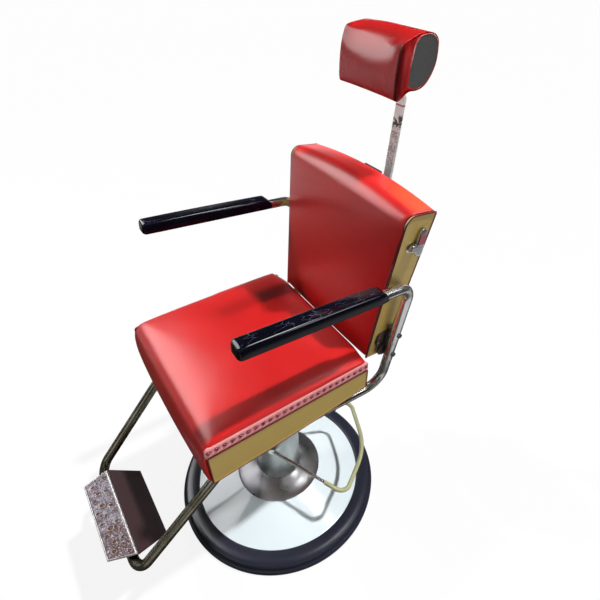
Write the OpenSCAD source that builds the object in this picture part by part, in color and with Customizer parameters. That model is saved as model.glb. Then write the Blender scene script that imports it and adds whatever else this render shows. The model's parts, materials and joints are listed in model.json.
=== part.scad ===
// Hydraulic barber chair with a looped pump lever, a reclining back, a sliding
// headrest and a turn-over footrest. Millimetres, +Z up, the sitter faces -Y and
// the sitter's left hand is at +X. The origin is on the floor under the column.

/* [Base] */
// Outer radius of the bumper ring
ring_r = 330; // [322:1:345]
// Height of the bumper ring
ring_h = 47; // [46:0.5:50]
// Radius at which the dome comes out from under the ring
dome_r = 273; // [266:1:276]
// Height of the flat middle of the dome
dome_top_z = 84; // [82:0.5:86]
// Rim radius of the column flange
flange_r = 139.3; // [132:0.1:146]

/* [Pump] */
// Outer radius of the pump housing
housing_r = 71; // [70:0.5:72]
// Height of the top of the housing wall
housing_top_z = 405; // [395:1:410]
// Radius of the lift ram
ram_r = 30; // [28:0.5:32]
// Height of the lever's pivot
lever_z = 275; // [270:1:280]
// Direction of the lever from +X towards +Y
lever_turn = 50; // [0:1:360]
// Slope of the lever at rest, downwards from its pivot
lever_slope = 11.3; // [8:0.1:12]
// Reach of the lever loop from the column's axis
lever_reach = 297; // [285:1:300]
// Radius of the lever rod
lever_rod_r = 5; // [4.5:0.1:5.5]

/* [Seat] */
// Width of the seat over its side panels
seat_w = 447.4; // [440:0.2:450]
// Height of the seat's front edge from the axis, towards -Y
seat_front = 273; // [268:1:276]
// Distance of the seat's rear edge from the axis
seat_rear = 160; // [156:1:161]
// Height of the underside of the seat's board
seat_z = 611; // [608:1:613]
// Height of the top edge of the side panels
panel_top = 672; // [668:1:675]
// Height of the lower edge of the side panels at the front
panel_low_z = 575.5; // [572:0.5:582]
// Height of the nail strip above the side panels
strip_h = 31; // [28:1:33]
// Crown of the seat cushion above its edge
seat_crown = 20; // [14:1:28]
// Nails along one side of the seat
nail_count = 24; // [16:1:26]

/* [Frame] */
// Outer radius of the frame tubes
tube_r = 12.5; // [12:0.1:12.8]
// Wall of the frame tubes
tube_wall = 2; // [1.5:0.1:3]
// Width of an arm pad
pad_w = 38; // [30:0.5:40]
// Thickness of an arm pad
pad_t = 29; // [24:0.5:31]

/* [Back] */
// Lean of the backrest's front from upright
back_lean = 6.5; // [6.2:0.1:6.8]
// Height of the backrest along its own lean
back_h = 416; // [400:1:420]
// Half width of the backrest at its bottom
back_half_low = 192; // [188:0.5:193]
// Half width of the backrest at its top
back_half_top = 222; // [215:0.5:224]
// Thickness of the backrest at its bottom
back_t_low = 62; // [61:0.5:66]
// Thickness of the backrest at its top
back_t_top = 88; // [80:0.5:90]
// Forward crown of the back cushion
back_crown = 16; // [8:1:18]
// Rise of the arched top edge
back_arch = 17; // [8:1:20]

/* [Headrest] */
// Width of the headrest
head_w = 192; // [180:1:210]
// Width of the flat headrest bar
bar_w = 24; // [20:0.5:28]
// Thickness of the flat headrest bar
bar_t = 7; // [6:0.5:8]

/* [Footrest] */
// Half width of the footrest at its front edge
foot_half_front = 115; // [108:1:118]
// Half width of the footrest along its ridge
foot_half_ridge = 137; // [130:1:138]
// Half width of the footrest at its rear edge
foot_half_rear = 108; // [104:1:112]

/* [Hidden] */
$fn = 48;

// Running clearance of a shaft in its hole, and the gap kept between flat sliding faces
run = 0.05;
slide_gap = 0.15;
// Overshoot of a cutting shape
cut = 1;

// Base
plate_r = 120;
plate_t = 12;
dome_t = 5;
dome_edge_z = 43;
skirt_r = 285;
skirt_z = 6.2;
housing_wall = 4;
housing_flange_r = 104;
housing_flange_t = 10;
dome_screw_r = 88;
dome_screws_n = 6;
flange_top_z = 106;

// Pump
cylinder_ro = 40;
cylinder_ri = 34;
gland_t = 13;
gland_spigot = 10;
ram_shoulder_z = 540;
piston_z = 165;
piston_h = 25;
spindle_r = 20;
collar_t = 8;
pivot_r = 8;
hub_r = 11;
hub_t = 8;
hub_v = housing_r + 0.4;
crank_reach = 20;
crank_v = 54;
crank_nose_r = 5;
plunger_r = 6;
plunger_head_r = 7;
plunger_head_t = 6;
plunger_top_z = lever_z - crank_nose_r - 0.2;
block_r = 9.2;
block_top_z = 215;
sleeve_r = 6.8;
sleeve_from = 0.72;
loop_half = 172;
loop_u = 240;
loop_corner = 32;
loop_bow = 200;

// Seat
board_t = 12;
deck_t = 10;
rail_w = 18;
panel_t = 5.7;
panel_out = seat_w / 2;
panel_in = panel_out - panel_t;
strip_top = panel_top + strip_h;
strip_out = panel_out + 0.8;
// Lower edge of a side panel, which rises towards the rear, as [y, z]
panel_low = [[-seat_front + 3, panel_low_z], [-112, panel_low_z + 6.5], [44, panel_low_z + 18],
    [110, panel_low_z + 26], [seat_rear - 1, seat_z]];
seat_mid = (seat_rear - seat_front) / 2;
seat_len = seat_rear + seat_front;
nail_r = 4.6;
nail_rise = 2.2;

// Frame tubes: the corners of the left side tube, and the radius of each bend
rail_z = 568;
cross_y = -484;
cross_z = 290;
arm_front = [245, -150, 951];
arm_rear = [244, 244, 921];
rail_rear = [208, 224, rail_z];
rail_front = [188, -214, rail_z];
leg_foot = [168, cross_y, cross_z];
leg_share = 0.78;
leg_joint = rail_front + leg_share * (leg_foot - rail_front);
side_path = [arm_front, arm_rear, rail_rear, rail_front, leg_joint];
side_bends = [42, 60, 55];
foot_bend = 45;
bend_swell = 0.06;
bend_lap = 1;

// Arm pads, along the front stretch of the tube
pad_angle = atan2(arm_rear.z - arm_front.z, arm_rear.y - arm_front.y);
pad_from = -36;
pad_to = 310;
pad_low = -4.5;
pad_round = 8.5;

// Back, in its own frame: x across, y rearwards, z along the lean
back_y = 177;
back_z = 674;
board_from = 19;
rear_skin = 6;
top_skin = 4;
rear_drop = 5;
back_panel_t = 4;
panel_round = 24;
side_angle = atan2(back_half_top - back_half_low, back_h);
rear_angle = atan2(back_t_top - back_t_low, back_h);
pivot_y = 216;
pivot_z = 702;
pivot_pin_r = 6;
back_plate_x = 200;
back_plate_t = 3.5;
tube_plate_x = 204;
tube_plate_t = 3.5;
tube_plate_screw_z = [696, 765];

// Headrest clamp, in the back's frame
clamp_y = 34;
clamp_z = 336;
clamp_shaft_r = 5;
cam_r = 5.8;
cam_half = 10;
shoe_r = 6;

// Headrest bar: a point on its axis, its lean, its lower end, its knee and its pivot
bar_y = 366;
bar_z = 1044;
bar_lean = 5.1;
bar_down = 175;
bar_up = 197;
knee = [bar_y + bar_up * sin(bar_lean), bar_z + bar_up * cos(bar_lean)];
head_pivot = [335, 1312];
head_pin_r = 4;
head_barrel_r = 9;
guide_from = -100;
guide_to = -4;
guide_half = 21;
end_t = 3;
// Outline of the headrest's end plate, as [y, z] from its pivot
end_outline = [[-31, -17], [-32, 2], [-25, 42], [-21, 57], [-14, 66], [2, 70], [15, 69], [26, 64],
    [34, 55], [37, 38], [36, 17], [28, -1], [17, -15], [5, -22], [-7, -24.5], [-21, -23]];
// Outline of the headrest cushion round it, as [y, z] from its pivot
head_outline = [[-58, -45], [-61, -38], [-62, -20], [-62, 5], [-60.5, 30], [-58, 50], [-54, 59],
    [-44, 65], [-30, 69], [-12, 73], [4, 74], [17, 73], [29, 68], [38, 57], [41, 38], [40, 17],
    [32, -3], [20, -18.5], [7, -26], [-8, -29], [-26, -29], [-40, -36], [-51, -44]];

// Footrest, as [y, z] from the cross tube's axis
foot_front = [-49, 34];
foot_ridge = [16, 26];
foot_rear = [90, -13];
foot_skin = 3;
cheek_x = 100;
cheek_t = 4;
boss_r = 17;
boss_l = 16;
tread_t = 2.5;
foot_pad_t = 5;

// ---------- helpers ----------

function unit(v) = v / norm(v);
function turn_of(p, q, r) = acos(min(1, max(-1, unit(q - p) * unit(r - q))));
function setback(path, bends, i) = (i <= 0 || i >= len(path) - 1) ? 0
    : bends[i - 1] * tan(turn_of(path[i - 1], path[i], path[i + 1]) / 2);

// A straight round bar from p to q, longer by e0 and e1 at its ends
module bar_between(p, q, r, e0 = 0, e1 = 0) {
    d = q - p;
    translate(p - e0 * unit(d))
        rotate([0, acos(d.z / norm(d)), atan2(d.y, d.x)])
            cylinder(h = norm(d) + e0 + e1, r = r);
}

// The arc of radius bend that rounds corner q between p and s
module bend_at(p, q, s, bend, r) {
    turn = turn_of(p, q, s);
    along = unit(q - p);
    side = unit(cross(along, s - q));
    start = q - along * bend * tan(turn / 2);
    inward = cross(side, along);
    centre = start + bend * inward;
    m = [[-inward.x, along.x, side.x, centre.x], [-inward.y, along.y, side.y, centre.y],
        [-inward.z, along.z, side.z, centre.z], [0, 0, 0, 1]];
    multmatrix(m)
        rotate_extrude(angle = turn)
            translate([bend, 0])
                circle(r = r);
}

// A round bar along a path of corners, each rounded by its own bend radius. A bend is a hair
// thicker than the straights that run into it.
module bent_bar(path, bends, r) {
    last = len(path) - 2;
    for (i = [0:last]) {
        along = unit(path[i + 1] - path[i]);
        bar_between(path[i] + along * setback(path, bends, i),
            path[i + 1] - along * setback(path, bends, i + 1), r,
            i == 0 ? 0 : bend_lap, i == last ? 0 : bend_lap);
    }
    for (i = [1:last])
        bend_at(path[i - 1], path[i], path[i + 1], bends[i - 1], r + bend_swell);
}

// The path with its two ends moved out by d
function longer(path, d) = [for (i = [0:len(path) - 1])
    i == 0 ? path[0] - d * unit(path[1] - path[0])
    : i == len(path) - 1 ? path[i] + d * unit(path[i] - path[i - 1]) : path[i]];

module bent_tube(path, bends, r, wall) {
    difference() {
        bent_bar(path, bends, r);
        bent_bar(longer(path, cut), bends, r - wall);
    }
}

module ring(ro, ri, h) {
    difference() {
        cylinder(h = h, r = ro);
        translate([0, 0, -cut])
            cylinder(h = h + 2 * cut, r = ri);
    }
}

// A bar of round section along X, centred on the origin
module pin_x(l, r) {
    rotate([0, 90, 0])
        cylinder(h = l, r = r, center = true);
}

// Points from one ring to the next, joined to a closed solid with a flat or pointed cap at
// each end. Each ring runs anticlockwise seen from the last ring's side.
module lofted(rings) {
    n = len(rings[0]);
    last = len(rings) - 1;
    points = concat([for (one = rings) each one], [mean(rings[0]), mean(rings[last])]);
    sides = [for (i = [0:last - 1], j = [0:n - 1])
        each [[i * n + j, (i + 1) * n + j, (i + 1) * n + (j + 1) % n],
            [i * n + j, (i + 1) * n + (j + 1) % n, i * n + (j + 1) % n]]];
    low = [for (j = [0:n - 1]) [(last + 1) * n, j, (j + 1) % n]];
    high = [for (j = [0:n - 1]) [(last + 1) * n + 1, last * n + (j + 1) % n, last * n + j]];
    polyhedron(points = points, faces = concat(sides, low, high), convexity = 6);
}

function mean(points) = [for (k = [0:2]) sum([for (p = points) p[k]]) / len(points)];
function sum(v, i = 0) = i == len(v) ? 0 : v[i] + sum(v, i + 1);

// A rectangle with round corners, anticlockwise, with points along its sides as well
function side_points(p, q, n) = [for (i = [0:n - 1]) p + (q - p) * i / n];
function corner_points(c, r, a, n) = [for (i = [0:n - 1]) c + r * [cos(a + 90 * i / n), sin(a + 90 * i / n)]];
function soft_outline(a, b, r, n = 6, k = 4) = concat(
    side_points([a, -b + r], [a, b - r], n), corner_points([a - r, b - r], r, 0, k),
    side_points([a - r, b], [-a + r, b], n), corner_points([-a + r, b - r], r, 90, k),
    side_points([-a, b - r], [-a, -b + r], n), corner_points([-a + r, -b + r], r, 180, k),
    side_points([-a + r, -b], [a - r, -b], n), corner_points([a - r, -b + r], r, 270, k));

// The outline with the middle of each side drawn in by d
function drawn_in(p, a, b, d) = [
    p.x - sign(p.x) * d * (1 - pow(p.y / b, 2)) * pow(abs(p.x) / a, 6),
    p.y - sign(p.y) * d * (1 - pow(p.x / a, 2)) * pow(abs(p.y) / b, 6)];

// Share of the full outline and share of the full height of each ring of a crowned pad
edge_steps = [[0.985, 0], [1, 0.3], [0.985, 0.62], [0.955, 0.82]];
crown_steps = [0.91, 0.84, 0.74, 0.6, 0.42, 0.2];

// A crowned pad on the plane z = 0: half sizes a and b, edge height h, crown above that
module crowned_pad(a, b, corner, h, crown, pinch, taper = 0, arch = 0) {
    outline = [for (p = soft_outline(a, b, corner)) drawn_in(p, a, b, pinch)];
    steps = concat([for (s = edge_steps) [s[0], h * s[1]]],
        [for (s = crown_steps) [s, h + crown * (1 - pow(s, 4))]]);
    lofted([for (s = steps) [for (p = outline)
        [p.x * s[0] * (1 + taper * p.y / b),
            p.y * s[0] + arch * max(0, p.y / b) * (1 - pow(p.x / a, 2)), s[1]]]]);
}

// The left child and its mirror image on the right
module both_sides() {
    children();
    mirror([1, 0, 0])
        children();
}

module on_lever() {
    translate([0, 0, lever_z])
        rotate([0, 0, lever_turn])
            rotate([0, lever_slope, 0])
                children();
}

module on_plunger() {
    rotate([0, 0, lever_turn])
        translate([crank_reach, -crank_v, 0])
            children();
}

module on_back() {
    translate([0, back_y, back_z])
        rotate([-back_lean, 0, 0])
            children();
}

// The frame of the left side of the back: z runs outwards, y along the back
module on_back_side(z) {
    on_back()
        translate([back_half_low + z * tan(side_angle), 0, z])
            rotate([0, side_angle, 0])
                children();
}

module on_bar() {
    translate([0, bar_y, bar_z])
        rotate([-bar_lean, 0, 0])
            children();
}

module on_arm() {
    translate(arm_front)
        rotate([pad_angle, 0, 0])
            children();
}

// A [y, z] outline spread along X from x0 to x1
module yz_prism(outline, x0, x1) {
    translate([x0, 0, 0])
        rotate([90, 0, 90])
            linear_extrude(height = x1 - x0)
                polygon(outline);
}

// ---------- base ----------

module base_plate() {
    color("dimgray")
        cylinder(h = plate_t, r = plate_r);
}

function dome_line(drop) = [[flange_r, dome_top_z - 2.5 - drop], [dome_r - 3, dome_edge_z - drop]];

module base_dome() {
    top = concat([[housing_r, dome_top_z], [housing_flange_r + 1, dome_top_z]], dome_line(0),
        [[skirt_r - 3, dome_edge_z - 2.5], [skirt_r, dome_edge_z - 6], [skirt_r, skirt_z]]);
    under = concat([[skirt_r - dome_t, skirt_z], [skirt_r - dome_t, dome_edge_z - 9]],
        [for (i = [1, 0]) dome_line(dome_t)[i]],
        [[housing_flange_r + 1, dome_top_z - dome_t], [housing_r, dome_top_z - dome_t]]);
    color("aliceblue")
        difference() {
            rotate_extrude()
                polygon(concat(top, under));
            for (i = [0:dome_screws_n - 1])
                rotate([0, 0, i * 360 / dome_screws_n])
                    translate([dome_screw_r, 0, 0])
                        dome_screw_hole();
        }
}

module dome_screw_hole() {
    translate([0, 0, dome_top_z - 4])
        cylinder(h = 4, r1 = 4, r2 = 8);
    translate([0, 0, dome_top_z - 30])
        cylinder(h = 30, r = 4);
}

// The ring grips the dome's skirt: a band that bulges on top, a groove, and a lip at the floor
module base_ring() {
    lip = ring_r - 6;
    outer = [[skirt_r - 7, 0], [ring_r - 3, 0], [ring_r, 3], [ring_r, 14], [ring_r - 3, 19],
        [lip - 4, 22]];
    crown = [[lip, ring_h - 20], [lip - 0.5, ring_h - 14], [lip - 3, ring_h - 8.5],
        [lip - 8, ring_h - 4.2], [lip - 16, ring_h - 1.2], [lip - 26, ring_h], [lip - 37, ring_h - 0.6],
        [dome_r + 5, ring_h - 1.8], [dome_r + 1.5, ring_h - 2.6]];
    inner = [[dome_r, dome_edge_z + 1], [dome_r, dome_edge_z - 0.4], [skirt_r - 3, dome_edge_z - 2.3],
        [skirt_r + 0.2, dome_edge_z - 5.8], [skirt_r + 0.2, skirt_z - 0.2], [skirt_r - 7, skirt_z - 0.2]];
    color("#22242c")
        rotate_extrude()
            polygon(concat(outer, crown, inner));
}

module column_flange() {
    neck = housing_r + 3;
    bell = [for (i = [0:10]) let (r = flange_r - (flange_r - neck) * i / 10)
        [r, dome_top_z + 1 + (flange_top_z - dome_top_z - 1) * pow(i / 10, 1.8)]];
    under = [[housing_r, flange_top_z], [housing_r, dome_top_z + 0.2],
        [housing_flange_r + 1, dome_top_z + 0.2], [flange_r, dome_top_z - 2.3]];
    color("silver")
        rotate_extrude()
            polygon(concat(bell, under));
}

// ---------- pump ----------

module pump_housing() {
    flange_z = dome_top_z - dome_t - housing_flange_t;
    color("lightslategray")
        difference() {
            union() {
                translate([0, 0, plate_t])
                    cylinder(h = housing_top_z - plate_t, r = housing_r);
                translate([0, 0, flange_z])
                    cylinder(h = housing_flange_t, r = housing_flange_r);
            }
            translate([0, 0, plate_t - cut])
                cylinder(h = housing_top_z - plate_t + 2 * cut, r = housing_r - housing_wall);
            for (i = [0:dome_screws_n - 1])
                rotate([0, 0, i * 360 / dome_screws_n])
                    translate([dome_screw_r, 0, 0])
                        dome_screw_hole();
            translate([0, 0, lever_z])
                rotate([90, 0, lever_turn])
                    cylinder(h = 3 * housing_r, r = pivot_r + run, center = true);
        }
}

module pump_cylinder() {
    color("gray")
        translate([0, 0, plate_t])
            ring(cylinder_ro, cylinder_ri, housing_top_z - gland_spigot - plate_t);
}

module pump_block() {
    color("gray")
        on_plunger()
            difference() {
                translate([0, 0, plate_t])
                    cylinder(h = block_top_z - plate_t, r = block_r);
                translate([0, 0, block_top_z - 110])
                    cylinder(h = 110 + cut, r = plunger_r + run);
            }
}

module gland_nut() {
    color("silver")
        difference() {
            union() {
                translate([0, 0, housing_top_z])
                    cylinder(h = gland_t, r = housing_r);
                translate([0, 0, housing_top_z - gland_spigot])
                    cylinder(h = gland_spigot + cut, r = housing_r - housing_wall);
            }
            translate([0, 0, housing_top_z - gland_spigot - cut])
                cylinder(h = gland_t + gland_spigot + 2 * cut, r = ram_r + run);
        }
}

module dome_screws() {
    color("silver")
        for (i = [0:dome_screws_n - 1])
            rotate([0, 0, i * 360 / dome_screws_n])
                translate([dome_screw_r, 0, 0])
                    dome_screw();
}

module dome_screw() {
    translate([0, 0, dome_top_z - 4])
        cylinder(h = 4, r1 = 4, r2 = 8);
    translate([0, 0, dome_top_z - 24])
        cylinder(h = 20, r = 4);
    translate([0, 0, dome_top_z - 22])
        cylinder(h = 7, r = 7.5, $fn = 6);
}

// The left half of the loop's centre line, in the lever's own plane
arm_start = [4, hub_v + hub_t / 2, 0];
loop_path = [[arm_start.x, -arm_start.y, 0], [loop_u, -loop_half, 0], [lever_reach, 0, 0],
    [loop_u, loop_half, 0], arm_start];
loop_bends = [loop_corner, loop_bow, loop_corner];

module pump_lever() {
    color("silver")
        on_lever() {
            bent_bar(loop_path, loop_bends, lever_rod_r);
            for (s = [-1, 1])
                translate([0, s * (hub_v + hub_t / 2), 0])
                    rotate([90, 0, 0])
                        cylinder(h = hub_t, r = hub_r, center = true);
            lever_stub(-1, crank_v - 6);
            lever_stub(1, crank_v + 6);
        }
}

// The pivot on side s of the housing, from v0 out to its hub
module lever_stub(s, v0) {
    translate([0, s * (v0 + hub_v + 1) / 2, 0])
        rotate([90, 0, 0])
            cylinder(h = hub_v + 1 - v0, r = pivot_r, center = true);
}

// The sleeve covers the loop from sleeve_from of the way along one arm to the same on the other
sleeve_path = concat([loop_path[0] + sleeve_from * (loop_path[1] - loop_path[0])],
    [for (i = [1:3]) loop_path[i]],
    [loop_path[4] + sleeve_from * (loop_path[3] - loop_path[4])]);

module lever_sleeve() {
    color("khaki")
        on_lever()
            bent_tube(sleeve_path, loop_bends, sleeve_r, sleeve_r - lever_rod_r);
}

module lever_crank() {
    color("gray")
        translate([0, 0, lever_z])
            rotate([0, 0, lever_turn])
                translate([0, -crank_v, 0])
                    rotate([90, 0, 0])
                        difference() {
                            union() {
                                cylinder(h = 9, r = 13, center = true);
                                translate([crank_reach, 0, 0])
                                    cylinder(h = 9, r = crank_nose_r, center = true);
                                translate([crank_reach / 2, 0, 0])
                                    cube([crank_reach, 2 * crank_nose_r, 9], center = true);
                            }
                            cylinder(h = 20, r = pivot_r, center = true);
                        }
}

module pump_plunger() {
    color("silver")
        on_plunger() {
            translate([0, 0, plunger_top_z - plunger_head_t])
                cylinder(h = plunger_head_t, r = plunger_head_r);
            translate([0, 0, 120])
                cylinder(h = plunger_top_z - 120 - cut, r = plunger_r);
        }
}

module plunger_spring() {
    color("gray")
        on_plunger()
            translate([0, 0, block_top_z])
                ring(plunger_head_r, plunger_r + 0.3, plunger_top_z - plunger_head_t - block_top_z);
}

module lift_ram() {
    color("silver") {
        translate([0, 0, piston_z])
            cylinder(h = piston_h, r = cylinder_ri - run);
        translate([0, 0, piston_z])
            cylinder(h = ram_shoulder_z - piston_z, r = ram_r);
        translate([0, 0, ram_shoulder_z - cut])
            cylinder(h = seat_z - 2 - ram_shoulder_z + cut, r = spindle_r);
    }
}

module ram_collar() {
    color("goldenrod")
        translate([0, 0, ram_shoulder_z])
            ring(spindle_r + 22, spindle_r, collar_t);
}

// ---------- seat ----------

rail_y = [-95, 75];
rail_t = seat_z - rail_z - tube_r;
rail_d = 40;
rail_wall = 4;
hub_plate = [170, 250, 6];

module swivel_hub() {
    hub_low = ram_shoulder_z + collar_t + 0.2;
    color("#3a3d42")
        difference() {
            union() {
                translate([0, 0, hub_low])
                    cylinder(h = seat_z - 0.5 - hub_low, r = 34);
                translate([-hub_plate.x / 2, -hub_plate.y / 2 - 10, seat_z - rail_t - hub_plate.z])
                    cube(hub_plate);
            }
            translate([0, 0, hub_low - cut])
                cylinder(h = 80, r = spindle_r + run);
            for (x = [-65, 65], y = rail_y)
                translate([x, y, 0])
                    cylinder(h = seat_z + 10, r = 4);
        }
}

// Half the length of a cross rail that ends over the tube's centre line at y
function tube_x(y) = let (share = (y - rail_rear.y) / (rail_front.y - rail_rear.y))
    rail_rear.x + (rail_front.x - rail_rear.x) * share;

// Two cross rails of box section between the side tubes and the seat's board
module seat_rails() {
    color("#3a3d42")
        difference() {
            for (y = rail_y)
                translate([-tube_x(y) - 5, y - rail_d / 2, seat_z - rail_t])
                    difference() {
                        cube([2 * tube_x(y) + 10, rail_d, rail_t]);
                        translate([-cut, rail_wall, rail_wall])
                            cube([500, rail_d - 2 * rail_wall, rail_t - 2 * rail_wall]);
                    }
            for (y = rail_y, x = [-65, 65, -tube_x(y), tube_x(y)])
                translate([x, y, 0])
                    cylinder(h = seat_z + 10, r = 4);
        }
}

module rail_bolt(x, y, head_z) {
    translate([x, y, head_z - 5])
        cylinder(h = 5, r = 7, $fn = 6);
    translate([x, y, head_z - cut])
        cylinder(h = seat_z - head_z + cut, r = 4);
}

module rail_bolts() {
    color("silver")
        for (y = rail_y, x = [-1, 1]) {
            rail_bolt(65 * x, y, seat_z - rail_t - hub_plate.z);
            rail_bolt(tube_x(y) * x, y, rail_z - tube_r + 0.6);
        }
}

// The holes that bolts and screws need in a side tube
module side_tube_holes() {
    for (y = rail_y)
        translate([tube_x(y), y, rail_z - 30])
            cylinder(h = 60, r = 4);
    for (y = rail_y)
        translate([tube_x(y), y, rail_z - tube_r - 10])
            cylinder(h = 10.6, r = 8);
    for (z = tube_plate_screw_z)
        upright_screw_axis(z)
            pin_x(60, 3);
}

module side_tube() {
    color("silver")
        difference() {
            bent_tube(side_path, side_bends, tube_r, tube_wall);
            side_tube_holes();
        }
}

module side_tube_left() {
    side_tube();
}

module side_tube_right() {
    mirror([1, 0, 0])
        side_tube();
}

module footrest_tube() {
    far = [-leg_foot.x, leg_foot.y, leg_foot.z];
    far_joint = [-leg_joint.x, leg_joint.y, leg_joint.z];
    color("silver")
        bent_tube([leg_joint, leg_foot, far, far_joint], [foot_bend, foot_bend], tube_r, tube_wall);
}

// A rectangle a wide from y0 to y1, its two corners at y1 round
module round_ended(a, y0, y1, r) {
    translate([-a / 2, y0])
        square([a, y1 - y0 - r]);
    translate([-a / 2 + r, y0])
        square([a - 2 * r, y1 - y0]);
    for (s = [-1, 1])
        translate([s * (a / 2 - r), y1 - r])
            circle(r = r);
}

// An arm pad has round upper edges, round front corners, a sloped rear end and a groove that sits
// over the tube
module arm_pad() {
    top = pad_low + pad_t;
    side_view = [[pad_from - cut, pad_low - cut], [pad_to, pad_low - cut], [pad_to, top - 13],
        [pad_to - 3, top - 7], [pad_to - 12, top + cut], [pad_from - cut, top + cut]];
    color("#15151c")
        difference() {
            on_arm()
                intersection() {
                    translate([0, pad_to, 0])
                        rotate([90, 0, 0])
                            linear_extrude(height = pad_to - pad_from)
                                round_ended(pad_w, pad_low, top, pad_round);
                    translate([0, 0, pad_low - cut])
                        rotate([0, 0, 180])
                            linear_extrude(height = pad_t + 2 * cut)
                                round_ended(pad_w + 0.1, -pad_to - cut, -pad_from, pad_round - 1);
                    yz_prism(side_view, -pad_w, pad_w);
                }
            bent_bar([arm_front, arm_rear, rail_rear], [side_bends[0]], tube_r);
        }
}

module arm_pad_left() {
    arm_pad();
}

module arm_pad_right() {
    mirror([1, 0, 0])
        arm_pad();
}

// The axis of a tube plate screw, across the upright at height z
module upright_screw_axis(z) {
    translate(rail_rear + upright_share(z) * (arm_rear - rail_rear))
        children();
}

function upright_share(z) = (z - rail_rear.z) / (arm_rear.z - rail_rear.z);
function upright_y(z) = rail_rear.y + upright_share(z) * (arm_rear.y - rail_rear.y);

tube_plate_outline = [[pivot_y - 16, pivot_z - 4], [pivot_y - 8, pivot_z - 18],
    [pivot_y + 10, pivot_z - 20], [pivot_y + 26, pivot_z - 12], [pivot_y + 30, pivot_z + 72],
    [pivot_y + 12, pivot_z + 76], [pivot_y + 4, pivot_z + 20]];

module tube_plates() {
    color("#3c3c40")
        both_sides()
            difference() {
                union() {
                    yz_prism(tube_plate_outline, tube_plate_x, tube_plate_x + tube_plate_t);
                    for (z = tube_plate_screw_z)
                        translate([tube_plate_x + cut, upright_y(z), z])
                            rotate([0, 90, 0])
                                cylinder(h = 18, r = 8);
                }
                bent_bar(side_path, side_bends, tube_r);
                for (z = tube_plate_screw_z)
                    upright_screw_axis(z)
                        pin_x(80, 3);
                translate([tube_plate_x, pivot_y, pivot_z])
                    pin_x(20, pivot_pin_r + run);
            }
}

module tube_plate_screws() {
    color("dimgray")
        both_sides()
            difference() {
                for (z = tube_plate_screw_z)
                    upright_screw_axis(z) {
                        translate([tube_r + 1.5, 0, 0])
                            pin_x(5, 6.5);
                        translate([(tube_r - 20) / 2, 0, 0])
                            pin_x(tube_r + 20, 3);
                    }
                difference() {
                    bent_bar(side_path, side_bends, tube_r);
                    for (z = tube_plate_screw_z)
                        upright_screw_axis(z)
                            pin_x(80, 3);
                }
                translate([back_plate_x, 0, pivot_z - 100])
                    cube([tube_plate_x - back_plate_x, 400, 300]);
            }
}

module seat_board() {
    color("burlywood")
        translate([-panel_in, -seat_front + 6, seat_z])
            cube([2 * panel_in, seat_len - 12, board_t]);
}

module seat_box() {
    outer = [2 * panel_in, seat_len - 24, strip_top - deck_t - seat_z - board_t];
    color("burlywood")
        translate([-panel_in, -seat_front + 12, seat_z + board_t])
            difference() {
                cube(outer);
                translate([rail_w, rail_w, -cut])
                    cube([outer.x - 2 * rail_w, outer.y - 2 * rail_w, outer.z + 2 * cut]);
            }
}

module seat_deck() {
    color("burlywood")
        translate([-panel_in, -seat_front + 20, strip_top - deck_t])
            cube([2 * panel_in, seat_len - 32, deck_t]);
}

module seat_cushion() {
    color("firebrick")
        translate([0, seat_mid, strip_top])
            crowned_pad(panel_out, seat_len / 2 + 1, 16, 10, seat_crown, 2.5);
}

// The skirt under the cushion at one end, down to z0: a soft cover that bulges away from the box
module end_cover(bulge, z0) {
    z1 = strip_top;
    steps = 6;
    half = panel_in;
    rings = [for (i = [0:steps]) let (z = z0 + (z1 - z0) * i / steps, out = bulge * sin(180 * i / steps))
        concat([for (x = [-1, -0.6, -0.2, 0.2, 0.6, 1]) [x * half, -1 - out * (1 - 0.6 * pow(x, 4)), z]],
            [for (x = [1, 0.6, 0.2, -0.2, -0.6, -1]) [x * half, 4, z]])];
    lofted(rings);
}

module seat_front_cover() {
    color("firebrick")
        difference() {
            translate([0, -seat_front + 2, 0])
                end_cover(18, panel_low_z);
            translate([-500, -seat_front + 6, 0])
                cube([1000, 100, 2000]);
        }
}

module seat_rear_cover() {
    color("firebrick")
        difference() {
            translate([0, seat_rear - 2, 0])
                mirror([0, 1, 0])
                    end_cover(1.5, seat_z);
            translate([-500, seat_rear - 106, 0])
                cube([1000, 100, 2000]);
        }
}

module seat_panel() {
    color("darkkhaki")
        yz_prism(concat(panel_low, [[seat_rear - 1, panel_top], [-seat_front + 3, panel_top]]),
            panel_in, panel_out);
}

module seat_panel_left() {
    seat_panel();
}

module seat_panel_right() {
    mirror([1, 0, 0])
        seat_panel();
}

// The strip runs along the top of the side panel
module nail_strip() {
    color("indianred")
        translate([panel_in, -seat_front, panel_top])
            cube([strip_out - panel_in, seat_len, strip_h]);
}

module nail_strip_left() {
    nail_strip();
}

module nail_strip_right() {
    mirror([1, 0, 0])
        nail_strip();
}

module nail() {
    rotate([0, 90, 0])
        rotate_extrude()
            polygon([[0, 0], [nail_r, 0], [nail_r * 0.92, nail_rise * 0.45], [nail_r * 0.6, nail_rise * 0.85],
                [0, nail_rise]]);
}

nail_margin = 8;
nail_pitch = (seat_len - 2 * nail_margin) / (nail_count - 1);

module upholstery_nails() {
    color("rosybrown")
        both_sides()
            for (i = [0:nail_count - 1])
                translate([strip_out, -seat_front + nail_margin + i * nail_pitch, panel_top + strip_h / 2])
                    nail();
}

// ---------- back ----------

// Half the width of the back at height z, and the rise of its arched top at x, in straight steps
function back_half(z) = back_half_low + (back_half_top - back_half_low) * z / back_h;
arch_step = back_half_top / 6;
function arch_at(i) = back_arch * (1 - pow(i / 6, 2));
function arch_rise(x) = let (i = min(5, floor(abs(x) / arch_step)), t = abs(x) / arch_step - i)
    arch_at(i) * (1 - t) + arch_at(i + 1) * t;

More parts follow.
